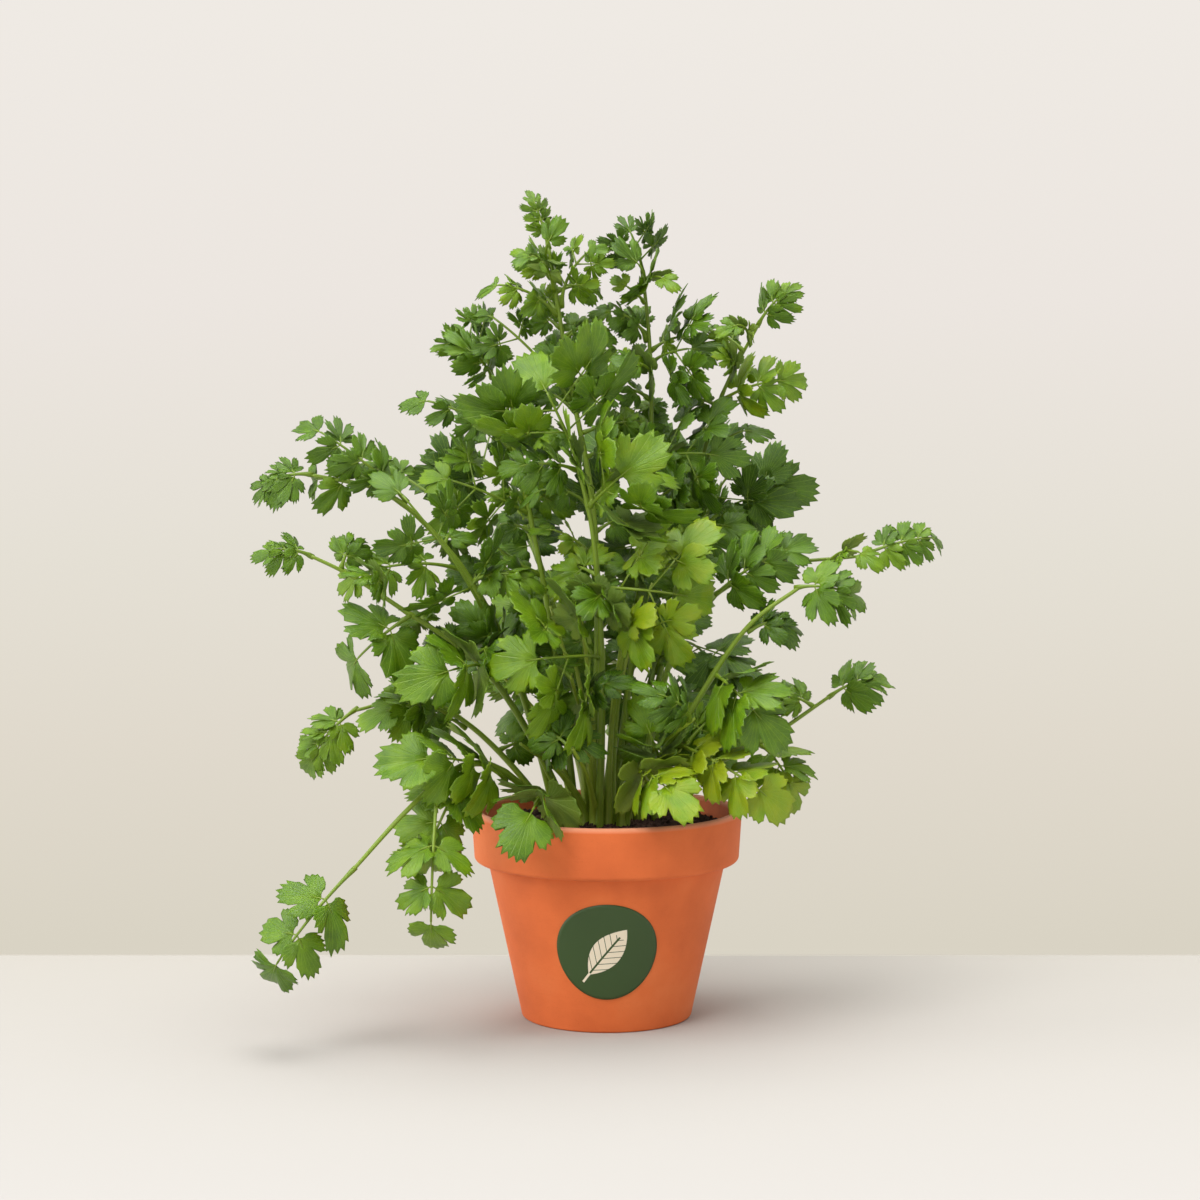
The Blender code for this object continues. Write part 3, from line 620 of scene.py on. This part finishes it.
# Leaves: the stem's number, how far up it the leaf is joined, where its tip reaches and the length of a
# leaflet in millimetres, the pairs along the stalk, whether these are sprays of three (1 or 0), the lean
# of the upper side (0 up, 90 to the front) and the arch of the stalk in degrees, its tone from dark to
# yellow green, and how deeply its leaflets are cut. The tone is partly the leaf's own green and partly
# painted light: darker for leaves at the back and in the shade, yellower for young, back-lit ones.
LEAVES = [
    (1, 1.0, (-42, -4, 354), 12, 3, 0, 50, 25, 0.45, 0.9),
    (1, 0.9, (-6, -16, 330), 15, 2, 1, 35, 70, 0.5, 0.75),
    (1, 0.74, (-62, -14, 300), 16, 2, 1, 50, 50, 0.3, 0.8),
    (2, 1.0, (10, 2, 340), 15, 2, 1, 55, 40, 0.15, 0.8),
    (2, 0.84, (56, -10, 270), 24, 2, 1, 70, 60, 0.25, 0.5),
    (2, 0.66, (62, -32, 216), 27, 2, 1, 70, 60, 0.2, 0.5),
    (3, 1.0, (98, 2, 298), 18, 2, 0, 60, 50, 0.4, 0.75),
    (3, 0.84, (108, -8, 256), 25, 2, 0, 70, 60, 0.6, 0.45),
    (4, 1.0, (-84, 4, 286), 16, 2, 1, 50, 60, 0.35, 0.9),
    (4, 0.8, (-114, 6, 246), 21, 2, 0, 40, 50, 0.3, 0.8),
    (4, 0.66, (-96, -20, 210), 23, 2, 1, 65, 40, 0.5, 0.7),
    (4, 0.5, (-142, 14, 232), 19, 2, 0, 40, 30, 0.45, 0.8),
    (5, 1.0, (-181, -50, 194), 20, 3, 0, 50, 50, 0.35, 0.85),
    (5, 0.8, (-166, -52, 232), 22, 3, 0, 60, 40, 0.25, 0.8),
    (5, 0.62, (-148, -66, 148), 24, 2, 0, 60, 70, 0.45, 0.7),
    (5, 0.48, (-122, -66, 204), 24, 2, 1, 60, 50, 0.3, 0.6),
    (6, 1.0, (-176, -76, 160), 17, 2, 0, 50, 50, 0.3, 0.85),
    (6, 0.72, (-146, -92, 98), 33, 1, 0, 75, 70, 0.4, 0.25),
    (6, 0.5, (-90, -106, 98), 32, 2, 0, 80, 60, 0.5, 0.2),
    (7, 1.0, (-172, -24, 32), 21, 3, 0, 55, 60, 0.55, 0.5),
    (7, 0.62, (-130, -44, 62), 25, 3, 0, 60, 60, 0.45, 0.35),
    (8, 1.0, (-186, -108, -72), 29, 2, 0, 70, 60, 0.35, 0.45),
    (8, 0.62, (-92, -108, -54), 27, 2, 0, 85, 60, 0.6, 0.5),
    (8, 0.5, (-118, -104, 6), 29, 2, 0, 75, 50, 0.5, 0.2),
    (8, 0.3, (-112, -106, 46), 31, 3, 0, 65, 50, 0.55, 0.1),
    (8, 0.14, (-52, -108, 22), 30, 2, 0, 70, 60, 0.45, 0.1),
    (9, 1.0, (-42, -74, 264), 33, 2, 1, 80, 60, 0.42, 0.2),
    (9, 0.85, (14, -92, 214), 33, 2, 1, 75, 60, 0.48, 0.2),
    (9, 0.64, (44, -94, 140), 31, 2, 1, 80, 60, 0.75, 0.25),
    (9, 0.46, (-50, -98, 104), 31, 2, 1, 80, 70, 0.55, 0.2),
    (10, 1.0, (191, -10, 166), 17, 3, 0, 60, 50, 0.4, 0.7),
    (10, 0.62, (108, -50, 168), 25, 3, 0, 65, 60, 0.3, 0.4),
    (11, 1.0, (134, -60, 128), 23, 2, 0, 60, 60, 0.35, 0.45),
    (11, 0.62, (88, -96, 66), 32, 2, 0, 80, 60, 0.4, 0.2),
    (11, 0.36, (84, -102, 26), 27, 3, 0, 75, 60, 0.85, 0.15),
    (11, 0.2, (32, -108, 40), 28, 3, 0, 75, 60, 0.8, 0.15),
    (12, 1.0, (156, 6, 88), 21, 2, 0, 50, 50, 0.4, 0.6),
    (12, 0.62, (106, -20, 22), 26, 2, 0, 60, 70, 0.6, 0.4),
    (13, 1.0, (-84, 76, 214), 32, 2, 1, 40, 60, 0.15, 0.3),
    (13, 0.6, (-66, 84, 96), 32, 2, 1, 10, 70, 0.2, 0.2),
    (14, 1.0, (76, 76, 200), 32, 2, 1, 40, 60, 0.15, 0.3),
    (14, 0.58, (74, 84, 80), 32, 2, 1, 10, 70, 0.2, 0.2),
    (14, 0.8, (6, 56, 236), 32, 2, 1, 60, 50, 0.1, 0.3),
]

stalk_green, tree, surface = new_material("stalk")
tone = add_node("ShaderNodeAttribute", attribute_name="tone").outputs["Fac"]
place = add_node("ShaderNodeUVMap", uv_map="grown").outputs[0]
spread = add_node("ShaderNodeMapping", {"Vector": place, "Scale": (30.0, 1.5, 1.0)}).outputs[0]
streaks = add_node("ShaderNodeTexNoise", {"Vector": spread, "Scale": 1.0, "Detail": 3.0}).outputs["Fac"]
finish(ramp(times(maths("ADD", streaks, tone), 0.5), STALK_COLOURS), 0.42)
add_bump(streaks, 0.3, 0.0003)

stem_curves = {number: stem_curve(number) for number in STEMS}
neighbours = []
for number, curve in stem_curves.items():
    name = f"stem_{number:02d}"
    joints = [row[1] for row in LEAVES if row[0] == number and row[1] < 1.0]
    length = curve_length(curve)
    radii = [stem_radius(number, 0.0) * FOOT_WIDTH]
    for i in range(STEM_RINGS + 1):
        share = i / STEM_RINGS
        swell = sum(math.exp(-((share - joint) * length / JOINT_LENGTH) ** 2) for joint in joints)
        radii.append(stem_radius(number, share) * (1.0 + JOINT_SWELL * swell))
    growth = Growth()
    growth.add_stalk(stem_route(curve, STEM_RINGS), radii, STEM_SIDES, STEM_TONE, STEM_RIBS)
    neighbours.append(BVHTree.FromPolygons(growth.points, growth.faces))
    stem = growth.made(name + "_stalk")
    stem.data.materials.append(stalk_green)
    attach(stem, "root")
    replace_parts(stem, name)

# The shoots. Young leaf stalks that crowd up from the crown of the plant between its main stems,
# pale and broad at the foot, where each clasps the next, and no thicker than a match above.
SHOOTS = 24
FIRST_SHOOT = len(STEMS) + 1
SHOOT_SEED = 5
CROWN = (-3, -7)
CROWN_REACH = (3.0, 15.0)
SPREADS = (12, 30)
HEIGHTS = (88, 150)
GOLDEN_TURN = math.radians(137.5)
SHOOT_SIDES = 15
SHOOT_RIBS = 5
SHOOT_RINGS = 28
FOOT_WIDENING = 1.3
FOOT_LENGTH = 0.018

chance = random.Random(SHOOT_SEED)
shoot_growth = Growth()
for k in range(SHOOTS):
    number = FIRST_SHOOT + k
    angle = GOLDEN_TURN * k + chance.uniform(-0.5, 0.5)
    away = Vector((math.cos(angle), math.sin(angle)))
    reach = CROWN_REACH[0] + CROWN_REACH[1] * math.sqrt(k / SHOOTS)
    spread = chance.uniform(*SPREADS) + 40 * k / SHOOTS
    height = chance.uniform(*HEIGHTS) - 70 * k / SHOOTS
    route = [(CROWN[0] + away.x * reach, CROWN[1] + away.y * reach, 0)]
    for share, rise in ((0.45, 0.62), (1.0, 1.0)):
        out = reach + spread * share ** 1.4
        route.append((CROWN[0] + away.x * out, CROWN[1] + away.y * out, height * rise))
    STEMS[number] = (chance.uniform(1.2, 2.1), 0.8, route)
    curve = stem_curves[number] = stem_curve(number)
    length = curve_length(curve)
    radii = [stem_radius(number, 0.0) * (1.0 + FOOT_WIDENING)]
    for i in range(SHOOT_RINGS + 1):
        share = i / SHOOT_RINGS
        widening = FOOT_WIDENING * math.exp(-share * length / FOOT_LENGTH)
        radii.append(stem_radius(number, share) * (1.0 + widening))
    route = stem_route(curve, SHOOT_RINGS)
    shoot_growth.add_stalk(route, radii, SHOOT_SIDES, chance.uniform(0.5, 1.2), SHOOT_RIBS)
neighbours.append(BVHTree.FromPolygons(shoot_growth.points, shoot_growth.faces))
shoots = shoot_growth.made("crown_shoots")
shoots.data.materials.append(stalk_green)
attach(shoots, "root")

# The leaves. Each is compound: a thin arched stalk with pairs of fan-shaped leaflets, or of small
# sprays of three, and one leaflet at its end. The leaflets are soft, lobed and toothed, ruffled at the
# edge, with fine paler veins. They are darker and a little glossy above, paler and matt below.
STALK_WIDTH = 0.0021
STALK_SINK = 0.0030
STALK_RINGS = 16
SIDE_STALK_RADII = [0.0006, 0.00048, 0.00045, 0.0005]
FOOTSTALK = [(0.0, 0.0005), (0.06, 0.00042), (0.14, 0.00036), (0.3, 0.00015)]
FOOTSTALK_SINK = 0.016
LEAFLET_BASE = 0.0024
FAN = [(0.46, -0.34), (0.92, -0.32), (0.92, 0.32), (0.46, 0.34)]
END_REACH = 0.85
BARE_END = 0.42
PAIR_SPACING = 0.52
SPRAY_SPACING = 1.1
LEAFY_SHARE = 0.72
LAST_PAIR = 0.93
LEAFLET_SPLAY = (68, 54)
LEAFLET_DIP = (4, 16)
LEAFLET_ROLL = 26
END_DIP = (14, 24)
LEAFLET_SIZES = (0.86, 1.06)
SPRAY_STALK = 0.75
SPRAY_SIDE = 0.85
SPRAY_SPLAY = math.radians(82)
SPRAY_DIP = math.radians(12)
TURN_STEP = math.radians(5.0)
TURN_RINGS = 12
BLADE_THICKNESS = 0.00028
BLADE_FOOT = 0.08
BLADE_WIDTHS = (0.88, 0.62)
OUTER_STEPS = (0.0, 0.36, 0.7, 0.88, 1.0)
INNER_STEPS = (0.0, 0.55, 1.0)
TIP_SINK = 0.16
SIDE_SINK = 0.22
FAN_SPREAD = (96, 112)
LOBE_WIDTHS = {3: (0.9, 1.2, 0.9), 5: (0.7, 0.9, 1.2, 0.9, 0.7)}
TEETH = {3: (6, 7), 5: (4, 5)}
TWIST = 16
FOLDS = (-0.05, 0.24)
CURLS = (-0.06, 0.16)
RUFFLES = (0.03, 0.065)
WAVES = (3.5, 8.0)
TOOTH_LIFT = 0.004
BLADE_SEED = 1000
LEAFLET_TONES = (-0.12, 0.12)
MOTTLING = 0.16
VEIN_SHARE = 0.5
GLOW = 0.22
# The skins of the two sides: their roughness, the green of their veins, and their greens by tone.
LEAF_SKINS = [
    ("leaf upper side", 0.36, (0.32, 0.51, 0.02, 1.0),
     [(0.0, (0.028, 0.094, 0.001)), (0.40, (0.100, 0.235, 0.001)), (0.70, (0.21, 0.38, 0.002)),
      (1.0, (0.37, 0.47, 0.005))]),
    ("leaf underside", 0.6, (0.30, 0.42, 0.07, 1.0),
     [(0.0, (0.085, 0.16, 0.012)), (0.5, (0.16, 0.27, 0.018)), (1.0, (0.28, 0.37, 0.022))]),
]


def leaf_frame(stem, share, tip, lean):
    """Where a leaf is joined, its own axes (X to its tip, Z its upper side), and its reach."""
    place, along = point_along(stem_curves[stem], share)
    goal = Vector((tip[0] * MM, tip[1] * MM, SOIL_LEVEL + tip[2] * MM))
    away = goal - place
    if share == 1.0:
        start = place + along * 2 * GAP
    else:
        outward = (away - along * away.dot(along)).normalized()
        start = place + outward * (stem_radius(stem, share) + STALK_WIDTH / 2 + 2 * GAP)
    forward = (goal - start).normalized()
    face = Vector((0.0, -math.sin(math.radians(lean)), math.cos(math.radians(lean))))
    upper = (face - forward * face.dot(forward)).normalized()
    axes = Matrix((forward, upper.cross(forward), upper)).transposed().to_4x4()
    return Matrix.Translation(start) @ axes, (goal - start).length


def turned_leaflet(heading, upper, side, splay, dip, roll):
    """The direction and the upper side of what grows beside a stalk, from its splay, dip and roll."""
    flat = heading * math.cos(splay) + upper.cross(heading) * side * math.sin(splay)
    forward = flat * math.cos(dip) - upper * math.sin(dip)
    raised = upper * math.cos(dip) + flat * math.sin(dip)
    return forward, Matrix.Rotation(roll, 3, forward) @ raised


def blade_point(origin, forward, upper, length, along, across, lift=0.0):
    """A point of a leaflet's blade, which bends down towards its tip and its sides."""
    sink = TIP_SINK * along ** 2 + SIDE_SINK * across ** 2 - lift
    return origin + length * (forward * along + upper.cross(forward) * across - upper * sink)


class Leaf:
    """A compound leaf in its own axes: its arched stalk, its side stalks and its leaflets."""

    def __init__(self, row, seed):
        stem, share, tip, leaflet, pairs, sprays, lean, arch, self.tone, self.cut = row
        chance = random.Random(seed)
        self.place, reach = leaf_frame(stem, share, tip, lean)
        self.size = leaflet * MM
        self.chord = max(reach - END_REACH * self.size, self.size)
        self.half_arch = math.radians(arch) / 2
        self.bow = self.chord / (2 * math.sin(self.half_arch))
        spacing = (SPRAY_SPACING if sprays else PAIR_SPACING) * self.size
        first = 1.0 - min(LEAFY_SHARE, (BARE_END * self.size + spacing * pairs) / self.chord)
        self.side_stalks = []
        self.leaflets = []
        for i in range(pairs):
            share = first + (LAST_PAIR - first) * i / max(pairs - 0.3, 0.7)
            for side in (-1, 1):
                self.add_side(share, side, i / pairs, sprays, chance)
        place, heading, upper = self.stalk(1.0)
        dip, roll = math.radians(chance.uniform(*END_DIP)), math.radians(chance.uniform(-4, 4))
        forward, raised = turned_leaflet(heading, upper, 1, 0.0, dip, roll)
        self.leaflets.append((place, forward, raised, self.size))

    def stalk(self, share):
        """The place, heading and upper side at a share of the stalk."""
        a = self.half_arch * (1.0 - 2.0 * share)
        place = Vector((self.bow * (math.sin(self.half_arch) - math.sin(a)), 0.0,
                        self.bow * (math.cos(a) - math.cos(self.half_arch))))
        return place, Vector((math.cos(a), 0.0, math.sin(a))), Vector((-math.sin(a), 0.0, math.cos(a)))

    def add_side(self, share, side, rank, spray, chance):
        """A leaflet at the side of the stalk, or a short side stalk with three."""
        splay = LEAFLET_SPLAY[0] + (LEAFLET_SPLAY[1] - LEAFLET_SPLAY[0]) * rank + chance.uniform(-4, 4)
        dip = LEAFLET_DIP[0] + (LEAFLET_DIP[1] - LEAFLET_DIP[0]) * rank + chance.uniform(-3, 3)
        roll = -side * (LEAFLET_ROLL + chance.uniform(-4, 4))
        size = self.size * (0.98 - 0.10 * rank) * chance.uniform(*LEAFLET_SIZES)
        place, heading, upper = self.stalk(share + LEAFLET_BASE / self.chord / 2)
        forward, raised = turned_leaflet(heading, upper, side, math.radians(splay), math.radians(dip),
                                         math.radians(roll))
        if not spray:
            self.leaflets.append((place, forward, raised, size))
            return
        tip = place + forward * SPRAY_STALK * size
        self.side_stalks.append((place, tip))
        for way in (-1, 1):
            outward, over = turned_leaflet(forward, raised, way, SPRAY_SPLAY, way * side * SPRAY_DIP, 0.0)
            self.leaflets.append((tip - forward * LEAFLET_BASE / 2, outward, over, SPRAY_SIDE * size))
        self.leaflets.append((tip, forward, raised, size))

    def outline(self, matrix):
        """A coarse search tree of the leaf where the matrix puts it."""
        points, faces = [], []
        for leaflet in self.leaflets:
            first = len(points)
            points += [leaflet[0]] + [blade_point(*leaflet, *corner) for corner in FAN]
            faces += [(first, first + i, first + i + 1) for i in (1, 2, 3)]
        first = len(points)
        for i in range(9):
            place = self.stalk(i / 8)[0]
            points += [place + Vector((0.0, y * STALK_WIDTH / 2, 0.0)) for y in (-1, 1)]
        faces += [(first + i, first + i + 1, first + i + 3, first + i + 2) for i in range(0, 16, 2)]
        return BVHTree.FromPolygons([matrix @ point for point in points], faces)


def turns(rings):
    """Small turns about the place where a leaf is joined, the smallest first."""
    yield Matrix.Identity(4)
    for ring in range(1, rings + 1):
        for k in range(8):
            angle = math.tau * k / 8
            yaw = Matrix.Rotation(ring * TURN_STEP * math.cos(angle), 4, "Z")
            yield yaw @ Matrix.Rotation(ring * TURN_STEP * math.sin(angle), 4, "Y")


def framed_matrix(leaf, name):
    """The leaf's place in the world: of the turns it can take, the one that best fills the frame's box."""
    low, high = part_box(name)
    marks = [leaf.stalk(0.0)[0], leaf.stalk(1.0)[0]] + [tip for _, tip in leaf.side_stalks]
    for leaflet in leaf.leaflets:
        marks += [blade_point(*leaflet, *corner) for corner in FAN]
    best = None
    for turn in turns(TURN_RINGS):
        matrix = leaf.place @ turn
        spots = [matrix @ mark for mark in marks]
        reach = [(min(spot[i] for spot in spots), max(spot[i] for spot in spots)) for i in range(3)]
        miss = sum(abs(reach[i][0] - low[i]) + abs(reach[i][1] - high[i]) for i in range(3))
        if best is None or miss < best[0]:
            best = (miss, matrix)
    return best[1]


def blade_rays(cut, chance):
    """A leaflet's outline as rays: angle, length without and with its tooth, lift, and place in the teeth."""
    spread = math.radians(chance.uniform(*FAN_SPREAD) - 16 * cut)
    lobes = 5 if chance.random() < 0.15 + 0.5 * cut else 3
    widths = [width * chance.uniform(0.88, 1.12) for width in LOBE_WIDTHS[lobes]]
    teeth = [chance.choice(TEETH[lobes]) for _ in widths]
    sinus = 0.16 + 0.40 * cut + chance.uniform(-0.04, 0.12)
    bite = 0.10 + 0.05 * cut
    rays = []
    start = 0.0
    for lobe in range(lobes):
        width = widths[lobe] / sum(widths)
        lift = chance.uniform(-0.08, 0.06)
        steps = 2 * teeth[lobe]
        for j in range(steps + (lobe == lobes - 1)):
            inside = j / steps
            centred = 2.0 * inside - 1.0
            angle = spread * (2.0 * (start + width * inside) - 1.0)
            fan = 0.52 + 0.48 * max(math.cos(angle), 0.0) ** 0.7
            notch = max(0.0, (abs(centred) - 0.62) / 0.38) ** 1.6
            length = fan * (1.0 - (0.05 + 0.14 * cut) * centred ** 2 - sinus * notch)
            tooth = 1.0 + 0.03 * chance.uniform(-1, 1) if j % 2 else 1.0 - bite * chance.uniform(0.7, 1.2)
            rays.append((angle, length, length * tooth, lift * (1.0 - centred ** 2),
                         sum(teeth[:lobe]) + inside * teeth[lobe]))
        start += width
    return rays


def add_blade(growth, leaflet, cut, tone, steps, chance):
    """A lobed, toothed and ruffled blade, as a fan of curved rays from its foot."""
    origin, forward, upper, length = leaflet
    upper = Matrix.Rotation(math.radians(chance.uniform(-TWIST, TWIST)), 3, forward) @ upper
    fold = chance.uniform(*FOLDS)
    curl = chance.uniform(*CURLS)
    ruffle = chance.uniform(*RUFFLES)
    phase = chance.uniform(0.0, math.tau)
    waves = chance.uniform(*WAVES)
    wide = BLADE_WIDTHS[0] + (BLADE_WIDTHS[1] - BLADE_WIDTHS[0]) * cut
    grid = []
    for angle, inner, outer, raised, place in blade_rays(cut, chance):
        ray = []
        for step in steps:
            reach = (0.02 + (outer if step == 1.0 else inner * step)) * (1.0 - BLADE_FOOT)
            bent = angle * (0.66 + 0.34 * step)
            along = BLADE_FOOT + reach * math.cos(bent)
            across = wide * reach * math.sin(bent)
            lift = fold * abs(across) - curl * along ** 2 + raised * step ** 2
            wave = ruffle * step ** 2 * math.sin(waves * angle + phase)
            lift += wave + TOOTH_LIFT * step * math.cos(math.tau * place)
            point = blade_point(origin, forward, upper, length, along, across, lift)
            ray.append(growth.add_point(point, (place, step), tone + 0.06 * step))
        grid.append(ray)
    for right, left in zip(grid, grid[1:]):
        for i in range(len(steps) - 1):
            growth.faces.append((right[i], right[i + 1], left[i + 1], left[i]))


def add_leaf(leaf, matrix, steps, blades, stalks, chance):
    """The leaf's blades and its stalks, where the matrix puts it."""
    first_blade, first_stalk = len(blades.points), len(stalks.points)
    green = 0.5 * (leaf.tone + 0.5)
    for leaflet in leaf.leaflets:
        add_blade(blades, leaflet, leaf.cut, leaf.tone + chance.uniform(*LEAFLET_TONES), steps, chance)
    root, heading, _ = leaf.stalk(0.0)
    route, radii = [root - heading * STALK_SINK], [STALK_WIDTH * 0.72]
    for i in range(STALK_RINGS + 1):
        route.append(leaf.stalk(i / STALK_RINGS)[0])
        radii.append(STALK_WIDTH * (0.46 + 0.24 * math.exp(-i / 1.5)) * (1.0 - 0.38 * i / STALK_RINGS))
    stalks.add_stalk(route, radii, 8, green)
    for start, end in leaf.side_stalks:
        stalks.add_stalk([start.lerp(end, i / 3) for i in range(4)], SIDE_STALK_RADII, 6, green)
    for origin, forward, upper, length in leaf.leaflets:
        route = [origin + forward * length * share for share, _ in FOOTSTALK]
        route[-1] -= upper * length * FOOTSTALK_SINK
        stalks.add_stalk(route, [radius for _, radius in FOOTSTALK], 6, green + 0.1)
    for growth, first in ((blades, first_blade), (stalks, first_stalk)):
        growth.points[first:] = [matrix @ point for point in growth.points[first:]]


leaf_veins = new_group("leaf veins", "ShaderNodeTree", {},
                       {"Vein": "Float", "Height": "Float", "Mottle": "Float"})
tree = leaf_veins
result = add_node("NodeGroupOutput").inputs
place = add_node("ShaderNodeUVMap", uv_map="grown").outputs[0]
fan = split_axes(place)
object_place = add_node("ShaderNodeTexCoord").outputs["Object"]
off_vein = maths("ABSOLUTE", maths("SUBTRACT", maths("FRACT", fan["X"]), 0.5))
spaced = times(off_vein, maths("ADD", fan["Y"], 0.10))
main_vein = between(spaced, 0.014, 0.070, 1.0, 0.0)
side_run = maths("ADD", times(fan["Y"], 8.0), times(off_vein, -2.6))
side_off = maths("ABSOLUTE", maths("SUBTRACT", maths("FRACT", side_run), 0.5))
side_vein = between(side_off, 0.03, 0.14, 0.35, 0.0)
net = add_node("ShaderNodeTexVoronoi", {"Vector": object_place, "Scale": 800.0}, feature="DISTANCE_TO_EDGE")
net_vein = between(net.outputs["Distance"], 0.0, 0.14, 0.3, 0.0)
vein = maths("MAXIMUM", maths("MAXIMUM", main_vein, side_vein), net_vein)
mottle = add_node("ShaderNodeTexNoise", {"Vector": object_place, "Scale": 110.0, "Detail": 4.0})
link(vein, result["Vein"])
link(maths("SUBTRACT", mottle.outputs["Fac"], vein), result["Height"])
link(mottle.outputs["Fac"], result["Mottle"])

leaf_materials = []
for name, roughness, vein_green, greens in LEAF_SKINS:
    material, tree, surface = new_material(name)
    skin = add_node("ShaderNodeGroup", node_tree=leaf_veins).outputs
    tone = add_node("ShaderNodeAttribute", attribute_name="tone").outputs["Fac"]
    shade = maths("ADD", tone, between(skin["Mottle"], 0.3, 0.7, -MOTTLING, MOTTLING))
    veined = blend(times(skin["Vein"], VEIN_SHARE), ramp(shade, greens), vein_green)
    finish(veined, roughness, 0.6)
    add_bump(skin["Height"], 0.6, 0.0004)
    through = add_node("ShaderNodeBsdfTranslucent", {"Color": veined})
    both = add_node("ShaderNodeMixShader", {0: GLOW, 1: surface.outputs[0], 2: through.outputs[0]})
    link(both.outputs[0], tree.nodes["Material Output"].inputs["Surface"])
    leaf_materials.append(material)


def finished_leaves(name, blades, stalks):
    """One piece of the blades, given their thickness, and the stalks."""
    blade_piece = blades.made(name)
    for material in (*leaf_materials, stalk_green):
        blade_piece.data.materials.append(material)
    skin = blade_piece.modifiers.new("thickness", "SOLIDIFY")
    skin.thickness = BLADE_THICKNESS
    skin.offset = -1.0
    skin.material_offset = 1
    plain_mesh(blade_piece)
    stalk_piece = stalks.made(name + "_stalks")
    stalk_piece.data.materials.append(stalk_green)
    both = {"active_object": blade_piece, "selected_editable_objects": [blade_piece, stalk_piece]}
    with bpy.context.temp_override(**both):
        bpy.ops.object.join()
    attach(blade_piece, "root")
    return blade_piece


for number, row in enumerate(LEAVES):
    name = f"leaf_{number + 1:02d}"
    leaf = Leaf(row, number)
    matrix = framed_matrix(leaf, name)
    neighbours.append(leaf.outline(matrix))
    blades, stalks = Growth(), Growth()
    add_leaf(leaf, matrix, OUTER_STEPS, blades, stalks, random.Random(BLADE_SEED + number))
    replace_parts(finished_leaves(name + "_blades", blades, stalks), name)

# The inner leaves. Smaller leaves, all round the stems and on the shoots, that fill the heart of the
# bush. Each is turned until a coarse outline of it clears its neighbours, or left out.
INNER_SEEDS = (2000, 3000)
INNER_TURN_RINGS = 5
PAIRS = (1, 2, 2)
LEANS = (35, 75)
ARCHES = (40, 70)
# Their tones keep to the darker greens: partly older leaves, partly painted shade in the heart of the bush.
TONES = (0.12, 0.6)
CUTS = (0.1, 0.4)
TIP_CUT = 0.35

# Each row: the stem's number, the shares of it between which they grow, how many, their reach and the
# length of their leaflets in millimetres.
INNER_LEAVES = [
    (1, 0.3, 0.97, 17, 42, 17),
    (1, 0.66, 0.98, 12, 27, 14),
    (2, 0.28, 0.97, 17, 42, 18),
    (2, 0.66, 0.98, 12, 27, 14),
    (3, 0.6, 0.97, 6, 26, 15),
    (4, 0.62, 0.97, 8, 26, 15),
    (3, 0.28, 0.94, 10, 40, 20),
    (4, 0.25, 0.95, 11, 40, 20),
    (5, 0.25, 0.9, 5, 36, 20),
    (5, 0.55, 0.92, 4, 24, 16),
    (6, 0.25, 0.8, 3, 32, 20),
    (6, 0.55, 0.92, 4, 24, 16),
    (7, 0.35, 0.9, 4, 24, 18),
    (9, 0.3, 0.95, 8, 44, 24),
    (10, 0.25, 0.75, 3, 34, 20),
    (10, 0.68, 0.93, 3, 24, 17),
    (11, 0.3, 0.8, 2, 32, 22),
    (12, 0.35, 0.9, 3, 24, 16),
    (13, 0.3, 0.98, 8, 44, 26),
    (14, 0.3, 0.98, 8, 44, 26),
]
INNER_LEAVES += [(FIRST_SHOOT + k, 0.75, 1.0, 2, 34, 22) for k in range(SHOOTS)]

for number, (stem, first, last, count, reach, size) in enumerate(INNER_LEAVES):
    chance = random.Random(INNER_SEEDS[0] + number)
    blades, stalks = Growth(), Growth()
    for k in range(count):
        share = first + (last - first) * k / max(count - 1, 1)
        place = point_along(stem_curves[stem], share)[0]
        angle = GOLDEN_TURN * k + chance.uniform(0, math.tau)
        away = Vector((math.cos(angle), 0.8 * math.sin(angle), chance.uniform(0.1, 0.7))).normalized()
        tip = (place + away * reach * chance.uniform(0.85, 1.2) * MM - Vector((0.0, 0.0, SOIL_LEVEL))) / MM
        row = (stem, min(share, 0.99), tuple(tip), size * chance.uniform(0.85, 1.15), chance.choice(PAIRS),
               0, chance.uniform(*LEANS), chance.uniform(*ARCHES), chance.uniform(*TONES),
               chance.uniform(*CUTS) + TIP_CUT * share ** 3)
        leaf = Leaf(row, INNER_SEEDS[1] + 50 * number + k)
        for turn in turns(INNER_TURN_RINGS):
            matrix = leaf.place @ turn
            outline = leaf.outline(matrix)
            if not any(outline.overlap(other) for other in neighbours):
                neighbours.append(outline)
                add_leaf(leaf, matrix, INNER_STEPS, blades, stalks, chance)
                break
    if blades.points:
        finished_leaves(f"inner_leaves_{number + 1:02d}", blades, stalks)
